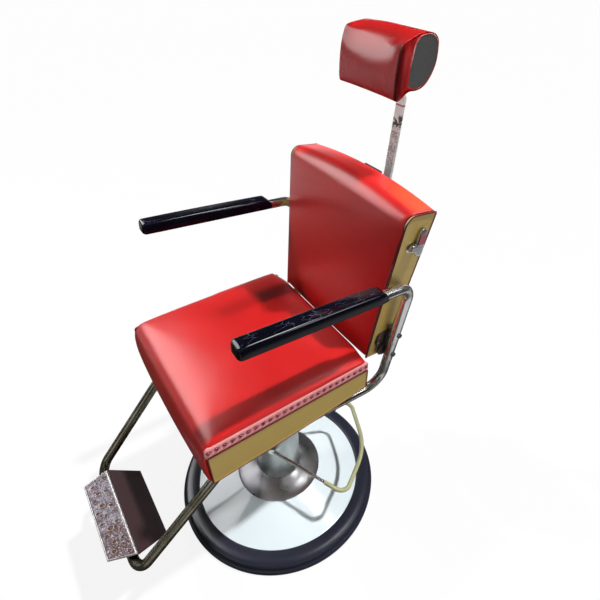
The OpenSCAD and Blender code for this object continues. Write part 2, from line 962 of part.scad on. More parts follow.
// The outline of the back seen from the front, drawn in by d, its top by d_top, from height low up
function back_front_outline(d, d_top, low) = let (a = back_half(back_h - d_top) - d, b = back_half(low) - d)
    concat([[-b, low], [b, low]],
        [for (x = concat([a], [for (i = [5:-1:-5]) i * arch_step], [-a]))
            [x, back_h - d_top + arch_rise(x)]]);

// A slab with that outline, from y0 to y1 in the back's frame
module back_slab(d, d_top, y0, y1, low = 0) {
    translate([0, y1, 0])
        rotate([90, 0, 0])
            linear_extrude(height = y1 - y0)
                polygon(back_front_outline(d, d_top, low));
}

// All that lies between y0 and the rear face, less a skin of the given thickness
module back_wedge(y0, skin) {
    tall = back_h + 60;
    low = back_t_low - skin;
    slope = tan(rear_angle);
    yz_prism([[y0, -60], [low - 60 * slope, -60], [low + tall * slope, tall], [y0, tall]], -300, 300);
}

module clamp_shaft_axis(x0, x1, r) {
    translate([x0, clamp_y, clamp_z])
        rotate([0, 90, 0])
            cylinder(h = x1 - x0, r = r);
}

module back_board() {
    color("burlywood")
        difference() {
            on_back()
                difference() {
                    intersection() {
                        back_slab(back_panel_t, top_skin, board_from, 150, 4);
                        back_wedge(board_from, rear_skin);
                    }
                    clamp_shaft_axis(-300, 300, clamp_shaft_r + run);
                    clamp_shaft_axis(-16, 16, cam_r + 0.6);
                    translate([0, clamp_y, clamp_z])
                        rotate([-90, 0, 0])
                            cylinder(h = 200, r = shoe_r);
                }
            both_sides()
                for (p = back_plate_screw_at)
                    back_plate_screw(p);
        }
}

module back_cushion() {
    half = (back_half_low + back_half_top) / 2 - back_panel_t;
    spread = (back_half_top - back_half_low) / 2 / half;
    color("firebrick")
        on_back()
            translate([0, board_from - 0.2, back_h / 2])
                rotate([90, 0, 0])
                    crowned_pad(half, back_h / 2, 14, board_from - 1, back_crown, 3, spread, back_arch);
}

module back_top_cover() {
    color("firebrick")
        on_back()
            difference() {
                intersection() {
                    back_slab(back_panel_t, 0, board_from, 150);
                    back_wedge(board_from, rear_skin);
                }
                back_slab(-50, top_skin, -50, 200);
            }
}

module back_panel() {
    low = back_t_low - rear_skin;
    top = back_h - 1;
    corner = [for (i = [0:6]) [panel_round - panel_round * sin(15 * i),
        top - panel_round + panel_round * cos(15 * i)]];
    slope = tan(rear_angle);
    outline = concat([[0, 3], [low + 3 * slope, 3], [low + (top - 5) * slope, top - 5],
        [low + top * slope - 2, top - 1.5], [low + top * slope - 5, top]], corner);
    color("darkkhaki")
        difference() {
            on_back()
                difference() {
                    intersection() {
                        yz_prism(outline, 0, 300);
                        back_slab(0, 0, -50, 150);
                    }
                    back_slab(back_panel_t, -50, -60, 160, -30);
                    children();
                }
            for (p = back_plate_screw_at)
                back_plate_screw(p);
        }
}

module back_panel_left() {
    back_panel()
        clamp_shaft_axis(100, 300, clamp_shaft_r + run);
}

module back_panel_right() {
    mirror([1, 0, 0])
        back_panel();
}

module back_rear_panel() {
    color("firebrick")
        on_back()
            difference() {
                intersection() {
                    back_slab(0, rear_drop, 0, 150);
                    back_wedge(0, 0);
                }
                back_wedge(-50, rear_skin);
                translate([0, clamp_y, clamp_z])
                    rotate([-90, 0, 0])
                        cylinder(h = 200, r = shoe_r);
            }
}

back_plate_outline = [for (p = [[-16.5, 18], [-6, -8], [5, -28], [22, -28], [25, 0], [25, 56], [0, 53],
    [-16.5, 41]]) [pivot_y + p.x, pivot_z + p.y]];
back_plate_screw_at = [[pivot_y - 5, pivot_z + 43], [pivot_y - 8, pivot_z + 22]];

// A countersunk screw through the bracket and the side of the back
module back_plate_screw(p) {
    translate([back_plate_x - 9, p.x, p.y])
        rotate([0, 90, 0])
            cylinder(h = back_plate_t + 9, r = 2.5);
    translate([back_plate_x + 0.5, p.x, p.y])
        rotate([0, 90, 0])
            cylinder(h = back_plate_t - 0.5, r1 = 2.5, r2 = 5.5);
}

// The bracket on each side of the back: a plate on bosses, with the hinge pin
module back_plates() {
    color("#3c3c40")
        both_sides()
            difference() {
                union() {
                    yz_prism(back_plate_outline, back_plate_x, back_plate_x + back_plate_t);
                    for (p = back_plate_screw_at)
                        translate([back_plate_x - 12, p.x, p.y])
                            rotate([0, 90, 0])
                                cylinder(h = 12 + cut, r = 8);
                    translate([back_plate_x, pivot_y, pivot_z])
                        rotate([0, 90, 0])
                            cylinder(h = tube_plate_x + tube_plate_t - back_plate_x + 0.3, r = pivot_pin_r);
                }
                on_back()
                    back_slab(0, 0, -100, 200);
                for (p = back_plate_screw_at)
                    back_plate_screw(p);
            }
}

module back_plate_screws() {
    color("silver")
        both_sides()
            for (p = back_plate_screw_at)
                back_plate_screw(p);
}

// The guide that holds the headrest bar: a block on two webs from a plate on the back's rear
module bar_guide() {
    plate_t = 5;
    slot = [bar_w + 2 * slide_gap, bar_t + 2 * slide_gap];
    height = guide_to - guide_from;
    color("#3c3c40")
        difference() {
            union() {
                difference() {
                    on_bar() {
                        translate([-guide_half, -bar_t / 2 - 7, guide_from])
                            cube([2 * guide_half, bar_t + 13, height]);
                        for (s = [-1, 1])
                            translate([s * (guide_half - 3) - 3, -110, guide_from])
                                cube([6, 110, height]);
                    }
                    on_back()
                        guide_side(plate_t - 0.5);
                }
                on_back()
                    translate([0, back_t_low, 0])
                        rotate([-rear_angle, 0, 0])
                            translate([-30, 0, clamp_z - 75])
                                cube([60, plate_t, back_h + back_arch - 2 - clamp_z + 75]);
            }
            on_bar()
                translate([-slot.x / 2, -slot.y / 2, guide_from - cut])
                    cube([slot.x, slot.y, height + 2 * cut]);
            on_back()
                translate([0, clamp_y, clamp_z])
                    rotate([-90, 0, 0])
                        cylinder(h = 200, r = shoe_r);
        }
}

// All that lies in front of a plane t behind the back's rear face
module guide_side(t) {
    translate([0, back_t_low + t, 0])
        rotate([-rear_angle, 0, 0])
            translate([-200, -400, -100])
                cube([400, 400, 700]);
}

// The shoe that the clamp pushes against the bar
module clamp_shoe() {
    color("goldenrod")
        difference() {
            on_back()
                translate([0, clamp_y + cam_r + 0.4, clamp_z])
                    rotate([-90, 0, 0])
                        cylinder(h = 140, r = shoe_r);
            on_bar()
                translate([-100, -bar_t / 2 - slide_gap, -300])
                    cube([200, 400, 600]);
        }
}

module clamp_washer() {
    color("silver")
        difference() {
            on_back_side(clamp_z)
                translate([0, clamp_y, 0])
                    rotate([0, 90, 0])
                        cylinder(h = 2.2, r = 13);
            on_back()
                clamp_shaft_axis(100, 300, clamp_shaft_r + run);
        }
}

clamp_x = 220;
clamp_face = 229;

module clamp_shaft() {
    color("silver")
        on_back() {
            clamp_shaft_axis(-cam_half, clamp_face - 1, clamp_shaft_r);
            clamp_shaft_axis(-cam_half, cam_half, cam_r);
        }
}

// The lever rises beside the rear edge of the back's side, behind its boss
module clamp_lever() {
    color("silver")
        on_back()
            translate([clamp_x, clamp_y, clamp_z])
                rotate([0, 90, 0])
                    difference() {
                        union() {
                            cylinder(h = clamp_face - clamp_x, r = 9.5);
                            translate([0, 0, 3.5])
                                linear_extrude(height = clamp_face - clamp_x - 3.5)
                                    polygon([[8, 2], [12, 8], [20, 14], [22, 22], [20, 29], [10, 31],
                                        [-30, 31], [-42, 28], [-47, 22], [-46, 14], [-38, 9], [-10, 6]]);
                        }
                        translate([0, 0, -cut])
                            cylinder(h = clamp_face - clamp_x, r = clamp_shaft_r);
                    }
}

module clamp_insert() {
    color("maroon")
        on_back()
            translate([clamp_face, clamp_y, clamp_z])
                rotate([0, 90, 0])
                    linear_extrude(height = 1.4)
                        polygon([[-10, 9], [-10, 28], [-32, 28], [-32, 11]]);
}

// ---------- headrest ----------

module headrest_bar() {
    along = [sin(bar_lean), cos(bar_lean)];
    foot = knee - (bar_up + bar_down) * along;
    upper = unit(head_pivot - knee);
    side = bar_t / 2 * [along.y, -along.x];
    upper_side = bar_t / 2 * [upper.y, -upper.x];
    knee_side = (side + upper_side) / (1 + along * upper);
    outline = [foot - side, foot + side, knee + knee_side, head_pivot + upper_side,
        head_pivot - upper_side, knee - knee_side];
    color("silver")
        difference() {
            union() {
                yz_prism(outline, -bar_w / 2, bar_w / 2);
                translate([0, head_pivot.x, head_pivot.y])
                    pin_x(bar_w, head_barrel_r);
            }
            translate([0, head_pivot.x, head_pivot.y])
                pin_x(bar_w + 10, head_pin_r + run);
        }
}

head_tilt_room = 23;

// The room in the headrest for the bar's upper end as the headrest tilts
module bar_room(w) {
    rest = atan2(knee.x - head_pivot.x, head_pivot.y - knee.y);
    a0 = rest - head_tilt_room;
    a1 = rest + head_tilt_room;
    side = bar_t / 2 + 1;
    far = 110;
    wedge = [[-side * cos(a0), -side * sin(a0)],
        [far * sin(a0) - side * cos(a0), -far * cos(a0) - side * sin(a0)],
        [far * sin(a1) + side * cos(a1), -far * cos(a1) + side * sin(a1)],
        [side * cos(a1), side * sin(a1)]];
    yz_prism(wedge, -w / 2, w / 2);
    pin_x(w, head_barrel_r + 1);
}

module headrest_block() {
    color("burlywood")
        translate([0, head_pivot.x, head_pivot.y]) {
            difference() {
                yz_prism(end_outline, -head_w / 2 + end_t + 1.3, head_w / 2 - end_t - 1.3);
                bar_room(bar_w + 2);
            }
            pin_x(bar_w + 20, head_pin_r);
        }
}

module headrest_cushion() {
    half = head_w / 2;
    stations = [[-half, 0.985], [-half + 3, 0.995], [-half + 12, 1], [-half / 2, 0.995], [0, 0.99],
        [half / 2, 0.995], [half - 12, 1], [half - 3, 0.995], [half, 0.985]];
    mid = [-12, 16];
    color("firebrick")
        translate([0, head_pivot.x, head_pivot.y])
            difference() {
                rotate([0, 90, 0])
                    lofted([for (s = stations) [for (p = head_outline)
                        [-(mid.y + (p.y - mid.y) * s[1]), mid.x + (p.x - mid.x) * s[1], s[0]]]]);
                yz_prism(end_outline, -head_w, head_w);
                bar_room(bar_w + 6);
            }
}

module headrest_end(x) {
    color("dimgray")
        translate([0, head_pivot.x, head_pivot.y])
            yz_prism(end_outline, x, x + end_t);
}

module headrest_end_left() {
    headrest_end(head_w / 2 - end_t - 1.3);
}

module headrest_end_right() {
    headrest_end(-head_w / 2 + 1.3);
}

// ---------- footrest ----------

module on_foot() {
    translate([0, cross_y, cross_z])
        children();
}

// The frame of the slope from p to q, [y, z] each: y runs along the slope from p, z out of it
module on_slope(p, q) {
    translate([0, p.x, p.y])
        rotate([atan2(q.y - p.y, q.x - p.x), 0, 0])
            children();
}

// A plate on the slope from p to q, with half widths a at p and b at q, from z0 to z1 out of it
module slope_plate(p, q, a, b, inset, z0, z1) {
    l = norm(q - p);
    on_slope(p, q)
        translate([0, 0, z0])
            linear_extrude(height = z1 - z0)
                polygon([[-a + inset, inset], [a - inset, inset], [b - inset, l - inset],
                    [-b + inset, l - inset]]);
}

// The folded sheet under the tread and the pad, and the two cheeks with bosses for the cross tube
module footrest_frame() {
    cheek = [foot_front + [6, -8], [-16, -4], [0, -17], [18, -10], foot_rear + [-12, -4],
        foot_rear + [-16, 2], foot_ridge + [0, -9]];
    color("#3c3a3c")
        on_foot()
            difference() {
                union() {
                    slope_plate(foot_front, foot_ridge, foot_half_front, foot_half_ridge, 1,
                        -tread_t - foot_skin, -tread_t);
                    slope_plate(foot_ridge, foot_rear, foot_half_ridge, foot_half_rear, 1,
                        -foot_pad_t - foot_skin, -foot_pad_t);
                    on_slope(foot_ridge, foot_rear)
                        translate([0, 0, -foot_pad_t - foot_skin])
                            pin_x(2 * foot_half_ridge - 6, foot_skin - 0.1);
                    for (s = [-1, 1])
                        yz_prism(cheek, s * cheek_x - cheek_t / 2, s * cheek_x + cheek_t / 2);
                    for (s = [-1, 1])
                        translate([s * cheek_x, 0, 0])
                            pin_x(boss_l, boss_r);
                }
                pin_x(400, tube_r + run);
            }
}

// Raised craters on the tread, as [place across, share along the slope, radius]
tread_bumps = [[-115.7, 0.76, 4.5], [-98.8, 0.3, 4.5], [-74.9, 0.4, 4.5], [-72.6, 0.69, 4.5],
    [-54.5, 0.18, 4.5], [-35.4, 0.42, 6.5], [-24.2, 0.7, 4.5], [-16.7, 0.18, 4.5], [-0.2, 0.42, 4.5],
    [18, 0.18, 4.5], [26.3, 0.71, 4.5], [37.1, 0.43, 6.5], [56.7, 0.2, 4.5], [76.4, 0.72, 4.5],
    [77.4, 0.41, 4.5], [101.2, 0.3, 4.5], [118.6, 0.78, 4.5]];

module footrest_tread() {
    l = norm(foot_ridge - foot_front);
    rim = 3;
    color("thistle")
        on_foot() {
            slope_plate(foot_front, foot_ridge, foot_half_front, foot_half_ridge, 0, -tread_t, 0);
            difference() {
                slope_plate(foot_front, foot_ridge, foot_half_front, foot_half_ridge, 0, -cut, 1.6);
                slope_plate(foot_front, foot_ridge, foot_half_front, foot_half_ridge, rim, -2 * cut, 3);
            }
            on_slope(foot_front, foot_ridge)
                for (b = tread_bumps)
                    translate([b[0], b[1] * l, -cut])
                        difference() {
                            cylinder(h = cut + 1.8, r1 = b[2] + 1, r2 = b[2] - 0.8);
                            translate([0, 0, cut])
                                cylinder(h = 3, r = b[2] / 2);
                        }
        }
}

module footrest_pad() {
    color("#3c2a2a")
        on_foot()
            difference() {
                slope_plate(foot_ridge, foot_rear, foot_half_ridge, foot_half_rear, 0.5, -foot_pad_t, 0);
                on_slope(foot_front, foot_ridge)
                    translate([-300, 0, -50])
                        cube([600, norm(foot_ridge - foot_front), 100]);
            }
}

base_plate();
base_dome();
base_ring();
column_flange();
pump_housing();
pump_cylinder();
pump_block();
gland_nut();
dome_screws();
pump_lever();
lever_sleeve();
lever_crank();
pump_plunger();
plunger_spring();
lift_ram();
ram_collar();
swivel_hub();
seat_rails();
rail_bolts();
side_tube_left();
side_tube_right();
footrest_tube();
arm_pad_left();
arm_pad_right();
tube_plates();
tube_plate_screws();
seat_board();
seat_box();
seat_deck();
seat_cushion();
seat_front_cover();
seat_rear_cover();
seat_panel_left();
seat_panel_right();
nail_strip_left();
nail_strip_right();
upholstery_nails();
back_board();
back_cushion();
back_panel_left();
back_panel_right();
back_rear_panel();
back_top_cover();
back_plates();
back_plate_screws();
bar_guide();
clamp_shoe();
clamp_washer();
clamp_shaft();
clamp_lever();
clamp_insert();
headrest_bar();
headrest_block();
headrest_cushion();
headrest_end_left();
headrest_end_right();
footrest_frame();
footrest_tread();
footrest_pad();
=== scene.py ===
# %% [markdown]
# # A hydraulic barber chair, dressed in Blender
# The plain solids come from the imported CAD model, which also says what each of them rides on.
# This lesson gives every solid its finish, makes the pieces that a plain solid can't show well,
# such as swollen cushions and a cast tread, and sets up the room, the lamps and the camera.
# Lengths are in metres. The sitter faces -Y, and the sitter's left side is +X.

import json
import math

import bmesh
import bpy
from mathutils import Matrix, Vector


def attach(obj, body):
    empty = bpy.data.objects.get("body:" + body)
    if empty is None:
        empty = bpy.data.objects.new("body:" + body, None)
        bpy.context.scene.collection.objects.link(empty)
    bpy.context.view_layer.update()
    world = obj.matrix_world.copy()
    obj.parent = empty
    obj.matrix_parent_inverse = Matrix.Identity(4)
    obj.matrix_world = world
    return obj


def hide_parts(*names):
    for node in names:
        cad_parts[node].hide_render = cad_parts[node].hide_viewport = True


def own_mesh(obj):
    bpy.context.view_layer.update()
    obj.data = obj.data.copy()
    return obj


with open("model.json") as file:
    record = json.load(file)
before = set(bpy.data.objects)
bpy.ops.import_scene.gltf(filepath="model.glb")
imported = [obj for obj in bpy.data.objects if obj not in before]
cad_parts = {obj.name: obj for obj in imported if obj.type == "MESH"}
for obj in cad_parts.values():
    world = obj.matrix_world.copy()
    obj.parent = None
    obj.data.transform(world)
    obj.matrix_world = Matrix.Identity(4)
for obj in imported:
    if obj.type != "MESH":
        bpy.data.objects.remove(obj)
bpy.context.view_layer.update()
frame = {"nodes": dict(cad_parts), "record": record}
nodes = frame["nodes"]

# %% [markdown]
# ## Shorthand for shader nodes
# A finish is a small tree of nodes that ends in the Principled shader. Nodes could be set up one
# by one in the editor, but the same few turn up in every finish, so each gets a short function
# that makes the node, links it and gives back its output. A fixed number is written straight on
# the socket, and only what varies over the surface is linked.

# %% Start a material
def new_material(name):
    """A material, its tree and its shader."""
    mat = bpy.data.materials.new(name)
    mat.use_nodes = True
    tree = mat.node_tree
    return mat, tree, tree.nodes["Principled BSDF"]


def reopened(mat):
    """The tree, the shader and the base colour's output of a material that is made already."""
    tree = mat.node_tree
    bsdf = tree.nodes["Principled BSDF"]
    return tree, bsdf, bsdf.inputs["Base Color"].links[0].from_socket


def grey(value):
    return (value, value, value)


# %% [markdown]
# Patterns here read Object coordinates. They could follow a UV map, but every piece keeps its
# object at the origin with its place in the mesh, so Object coordinates are simply the chair's
# own metres: a noise scale of 60 means the same grain on every piece, and a height can be used
# to say where wear begins.

# %% Coordinates and noise
def object_coords(tree):
    return tree.nodes.new("ShaderNodeTexCoord").outputs["Object"]


def axes(tree, vector):
    """The vector's three numbers, under the names X, Y and Z."""
    node = tree.nodes.new("ShaderNodeSeparateXYZ")
    tree.links.new(vector, node.inputs["Vector"])
    return node.outputs


def tex_noise(tree, coords, scale, detail=3.0, roughness=0.5):
    """Cloudy noise, mostly between 0.3 and 0.7."""
    node = tree.nodes.new("ShaderNodeTexNoise")
    node.inputs["Scale"].default_value = scale
    node.inputs["Detail"].default_value = detail
    node.inputs["Roughness"].default_value = roughness
    tree.links.new(coords, node.inputs["Vector"])
    return node.outputs["Fac"]


# %% Colours from a number
def ramp(tree, fac, stops):
    """Colours that blend from stop to stop; each stop is a position and a colour."""
    node = tree.nodes.new("ShaderNodeValToRGB")
    tree.links.new(fac, node.inputs["Fac"])
    elements = node.color_ramp.elements
    while len(elements) < len(stops):
        elements.new(0.5)
    for element, (position, colour) in zip(elements, stops):
        element.position = position
        element.color = (*colour, 1)
    return node.outputs["Color"]


def mix_colour(tree, fac, low, high):
    """Blends from low to high, each a colour or another node's output."""
    node = tree.nodes.new("ShaderNodeMix")
    node.data_type = "RGBA"
    factor, first, second, blend = node.inputs[0], node.inputs[6], node.inputs[7], node.outputs[2]
    tree.links.new(fac, factor)
    for socket, value in ((first, low), (second, high)):
        if isinstance(value, tuple):
            socket.default_value = (*value, 1)
        else:
            tree.links.new(value, socket)
    return blend


# %% Sums, ranges and bumps
def math_node(tree, operation, a, b=None):
    """One sum; a and b are numbers or other nodes' outputs."""
    node = tree.nodes.new("ShaderNodeMath")
    node.operation = operation
    for socket, value in zip(node.inputs, (a, b)):
        if isinstance(value, (int, float)):
            socket.default_value = value
        elif value is not None:
            tree.links.new(value, socket)
    return node.outputs[0]


def map_range(tree, value, start, end, low=0.0, high=1.0):
    """Goes from low at start to high at end, and stays there beyond them."""
    node = tree.nodes.new("ShaderNodeMapRange")
    for name, number in (("From Min", start), ("From Max", end), ("To Min", low), ("To Max", high)):
        node.inputs[name].default_value = number
    tree.links.new(value, node.inputs["Value"])
    return node.outputs["Result"]


def between(tree, value, low, low_full, high_full, high):
    """1 from low_full to high_full, fading to 0 at low and at high."""
    rising = map_range(tree, value, low, low_full)
    falling = map_range(tree, value, high, high_full)
    return math_node(tree, "MULTIPLY", rising, falling)


def add_bump(tree, bsdf, height, distance, below=None):
    """Tilts the shading as if the surface rose by height times distance, over a bump below."""
    node = tree.nodes.new("ShaderNodeBump")
    node.inputs["Distance"].default_value = distance
    tree.links.new(height, node.inputs["Height"])
    if below is not None:
        tree.links.new(below, node.inputs["Normal"])
    tree.links.new(node.outputs["Normal"], bsdf.inputs["Normal"])
    return node.outputs["Normal"]


print("node shorthand is ready")

# %% [markdown]
# ## Upholstery vinyl
# The cushions wear a smooth coated vinyl. Up close it has a leather-like grain, from further off
# only slightly uneven colour and gloss, and soft dents where the padding below isn't even. It
# could be a flat colour, but then the big panels look like painted metal. Here two colours drift
# into each other, the roughness drifts on its own, and two bumps lie on top of each other: broad
# dents and fine grain. A thin rough coat gives the milky sheen of the plastic skin.

# %% Vinyl
COLOUR_DRIFT = 7.0
GLOSS_DRIFT = 14.0
DENT_SCALE = 9.0
GRAIN_SCALE = 900.0
GRAIN_DEPTH = 0.00005


def vinyl(name, low, high, rough=0.34, coat=0.15, wrinkle=0.0003):
    """Smooth coated vinyl between two colours; wrinkle is the depth of its broad dents."""
    mat, tree, bsdf = new_material(name)
    co = object_coords(tree)
    patches = tex_noise(tree, co, COLOUR_DRIFT)
    tree.links.new(ramp(tree, patches, [(0.2, low), (0.8, high)]), bsdf.inputs["Base Color"])
    gloss = [(0.2, grey(rough - 0.03)), (0.8, grey(rough + 0.05))]
    tree.links.new(ramp(tree, tex_noise(tree, co, GLOSS_DRIFT), gloss), bsdf.inputs["Roughness"])
    bsdf.inputs["Specular IOR Level"].default_value = 0.5
    bsdf.inputs["Coat Weight"].default_value = coat
    bsdf.inputs["Coat Roughness"].default_value = 0.22
    dents = add_bump(tree, bsdf, tex_noise(tree, co, DENT_SCALE, 1.0, 0.4), wrinkle)
    add_bump(tree, bsdf, tex_noise(tree, co, GRAIN_SCALE, 2.0), GRAIN_DEPTH, below=dents)
    return mat


print("the vinyl's grain is", round(1e6 * GRAIN_DEPTH), "micrometres deep")

# %% [markdown]
# ## Metals
# Chrome, steel and brass differ in colour and in how blurred their reflections are. A perfectly
# even metal looks new and unreal, so a noise varies the roughness between a polished and a worn
# value, and a finer one takes a little brightness off the colour, as old handling does.

# %% Metal
WEAR_SCALE = 26.0
TARNISH_SCALE = 60.0
TARNISHED = 0.86


def metal(name, colour, rough, spread=0.06):
    """Metal with uneven wear; spread is how much rougher its worn patches are."""
    mat, tree, bsdf = new_material(name)
    co = object_coords(tree)
    bsdf.inputs["Metallic"].default_value = 1.0
    wear = tex_noise(tree, co, WEAR_SCALE, 5.0, 0.6)
    roughness = ramp(tree, wear, [(0.35, grey(rough)), (0.75, grey(rough + spread))])
    tree.links.new(roughness, bsdf.inputs["Roughness"])
    stops = [(0.4, colour), (0.85, tuple(TARNISHED * c for c in colour))]
    tarnish = ramp(tree, tex_noise(tree, co, TARNISH_SCALE, 6.0, 0.65), stops)
    tree.links.new(tarnish, bsdf.inputs["Base Color"])
    return mat


# %% [markdown]
# ## Paint, plastic, rubber and wood
# What is left on the chair isn't metallic and has no marked pattern: enamel, painted frame,
# rubber, a plastic sleeve and the boards under the covers. One function serves them all, with a
# colour that varies by a share either way and, where asked for, a bump from the same noise, so
# that high spots and pale spots fall together as they do on a worn surface.

# %% Plain surfaces
def plain(name, colour, rough, coat=0.0, bump=0.0, scale=60.0, vary=0.12):
    """A plain surface whose colour varies by the share vary; bump is the depth of its grain."""
    mat, tree, bsdf = new_material(name)
    grain = tex_noise(tree, object_coords(tree), scale, 4.0, 0.6)
    darker = tuple(c * (1 - vary) for c in colour)
    lighter = tuple(c * (1 + vary) for c in colour)
    tree.links.new(ramp(tree, grain, [(0.3, darker), (0.7, lighter)]), bsdf.inputs["Base Color"])
    bsdf.inputs["Roughness"].default_value = rough
    bsdf.inputs["Coat Weight"].default_value = coat
    bsdf.inputs["Coat Roughness"].default_value = 0.06
    if bump:
        add_bump(tree, bsdf, grain, bump)
    return mat


# %% [markdown]
# ## Finishes that need no more than a colour
# With three makers of materials at hand, most of the chair is a table of colours. Each finish is
# kept under its name, which is also the name that the solids ask for.

# %% The table of plain finishes
finishes = {}


def add_finish(maker, name, *looks, **more):
    """Makes a finish and keeps it under its name."""
    finishes[name] = maker(name, *looks, **more)


add_finish(vinyl, "vinyl_red", (0.54, 0.010, 0.010), (0.60, 0.013, 0.012))
add_finish(vinyl, "vinyl_maroon", (0.10, 0.008, 0.014), (0.14, 0.012, 0.020), wrinkle=0.0)
add_finish(vinyl, "vinyl_tan", (0.46, 0.32, 0.085), (0.52, 0.37, 0.11), wrinkle=0.0)
# The strip's light pink is partly its own lighter vinyl and partly painted sheen, standing in for the
# light on its rounded face.
add_finish(vinyl, "strip_red", (0.72, 0.21, 0.22), (0.88, 0.38, 0.39), rough=0.24, coat=0.5,
           wrinkle=0.0004)
add_finish(vinyl, "piping_red", (0.10, 0.006, 0.010), (0.15, 0.010, 0.014), rough=0.32, wrinkle=0.0)
add_finish(vinyl, "piping_cream", (0.46, 0.30, 0.09), (0.54, 0.36, 0.12), rough=0.3, wrinkle=0.0)
add_finish(metal, "chrome", (0.68, 0.67, 0.64), 0.15, 0.10)
add_finish(metal, "screw_chrome", (0.70, 0.70, 0.71), 0.16)
add_finish(metal, "screw_dark", (0.12, 0.12, 0.13), 0.34)
add_finish(metal, "column_steel", (0.66, 0.69, 0.68), 0.36, 0.08)
add_finish(metal, "steel_dark", (0.30, 0.31, 0.32), 0.38)
add_finish(metal, "bearing_brass", (0.62, 0.47, 0.22), 0.3)
add_finish(metal, "nail_metal", (0.66, 0.26, 0.28), 0.2, 0.1)
add_finish(metal, "foot_tread", (0.55, 0.53, 0.57), 0.32, 0.12)
add_finish(plain, "dome_enamel", (0.70, 0.78, 0.81), 0.14, coat=0.3, scale=3.0, vary=0.015)
add_finish(plain, "bumper_rubber", (0.017, 0.019, 0.032), 0.30, bump=0.00006, scale=240.0, vary=0.15)
add_finish(plain, "foot_rubber", (0.046, 0.024, 0.026), 0.5, bump=0.00008, scale=400.0)
add_finish(plain, "lever_vinyl", (0.40, 0.40, 0.21), 0.22, coat=0.5, vary=0.08)
add_finish(plain, "frame_paint", (0.045, 0.036, 0.032), 0.40, bump=0.0002, scale=120.0)
add_finish(plain, "foot_frame", (0.030, 0.028, 0.028), 0.45, bump=0.0002)
add_finish(plain, "insert_maroon", (0.36, 0.09, 0.13), 0.3, coat=0.3)
add_finish(plain, "end_grey", (0.078, 0.080, 0.080), 0.75, bump=0.0002, scale=300.0, vary=0.2)
add_finish(plain, "wood", (0.40, 0.26, 0.13), 0.6, bump=0.0003, scale=40.0, vary=0.25)
print("made", len(finishes), "plain finishes")

# %% [markdown]
# ## Scratched gloss on the arms
# The arm pads are black and glossy, and years of sleeves have left fine crossing scratches on
# their tops. Scratches could be painted as an image. A Voronoi pattern that gives the distance
# to its cell edges draws thin joined lines without one: stretched along the arm they look like
# wear, a noise leaves them out here and there, and the surface's own up direction keeps them off
# the sides. The sides also get less reflection, since they face nothing bright.

# %% Arm gloss
SCRATCH_SCALE = 95.0
SCRATCH_STRETCH = (1.0, 0.35, 1.0)
SCRATCH_WIDTH = 0.02


def scratch_lines(tree, coords):
    """1 on thin crossing lines, drawn out along the arm, and 0 off them."""
    stretched = tree.nodes.new("ShaderNodeVectorMath")
    stretched.operation = "MULTIPLY"
    stretched.inputs[1].default_value = SCRATCH_STRETCH
    tree.links.new(coords, stretched.inputs[0])
    cells = tree.nodes.new("ShaderNodeTexVoronoi")
    cells.feature = "DISTANCE_TO_EDGE"
    cells.inputs["Scale"].default_value = SCRATCH_SCALE
    tree.links.new(stretched.outputs["Vector"], cells.inputs["Vector"])
    return map_range(tree, cells.outputs["Distance"], SCRATCH_WIDTH, 0.0)


def arm_gloss():
    """Black gloss lacquer with fine handling scratches on its top."""
    mat = plain("arm_gloss", (0.0022, 0.0022, 0.006), 0.12, coat=0.25, scale=25.0, vary=0.5)
    tree, bsdf, black = reopened(mat)
    bsdf.inputs["Specular IOR Level"].default_value = 0.42
    co = object_coords(tree)
    up = axes(tree, tree.nodes.new("ShaderNodeTexCoord").outputs["Normal"])["Z"]
    handled = map_range(tree, tex_noise(tree, co, 30.0, 2.0), 0.50, 0.58)
    scratch = math_node(tree, "MULTIPLY", scratch_lines(tree, co), handled)
    scratch = math_node(tree, "MULTIPLY", scratch, map_range(tree, up, 0.9, 0.98))
    tree.links.new(map_range(tree, up, 0.3, 0.9, 0.12, 0.42), bsdf.inputs["Specular IOR Level"])
    tree.links.new(map_range(tree, up, 0.3, 0.9, 0.05, 0.25), bsdf.inputs["Coat Weight"])
    tree.links.new(map_range(tree, scratch, 0.0, 1.0, 0.11, 0.45), bsdf.inputs["Roughness"])
    tree.links.new(mix_colour(tree, scratch, black, (0.10, 0.10, 0.17)), bsdf.inputs["Base Color"])
    return mat


finishes["arm_gloss"] = arm_gloss()
print("arm gloss has", len(finishes["arm_gloss"].node_tree.nodes), "nodes")

# %% [markdown]
# ## Worn vinyl and painted fold shade of the headrest
# The headrest's sleeve is gathered round two end plates. Its edge there has lost its skin and
# shows the pale backing. The fold beside it lies in shade, which is painted into the colour as a
# dark band that hardly shines. Both could be modelled as separate strips. Here they are bands
# of the same skin, so their places are worked out from the coordinates: how far the point is from
# the middle of the headrest, how high it is, and how far forward.

# %% Headrest vinyl
HEAD_PIVOT = Vector((0, 0.335, 1.312))
FOLD_SHADE = 0.92


def worn_edge(tree, coords, place):
    """1 in flakes on the sleeve's upper ends, where the backing shows."""
    off_middle = math_node(tree, "ABSOLUTE", place["X"])
    end = map_range(tree, off_middle, 0.0945, 0.0957)
    upper = map_range(tree, place["Z"], 1.325, 1.345)
    flakes = map_range(tree, tex_noise(tree, coords, 90.0, 4.0), 0.38, 0.6)
    return math_node(tree, "MULTIPLY", math_node(tree, "MULTIPLY", end, upper), flakes)


def shaded_fold(tree, place):
    """Nearly 1 in the fold at the left end of the sleeve's front, where shade is painted."""
    end = map_range(tree, place["X"], 0.0860, 0.0885)
    front = map_range(tree, place["Y"], HEAD_PIVOT.y - 0.041, HEAD_PIVOT.y - 0.048)
    below = map_range(tree, place["Z"], HEAD_PIVOT.z + 0.060, HEAD_PIVOT.z + 0.044, 0.0, FOLD_SHADE)
    return math_node(tree, "MULTIPLY", math_node(tree, "MULTIPLY", end, front), below)


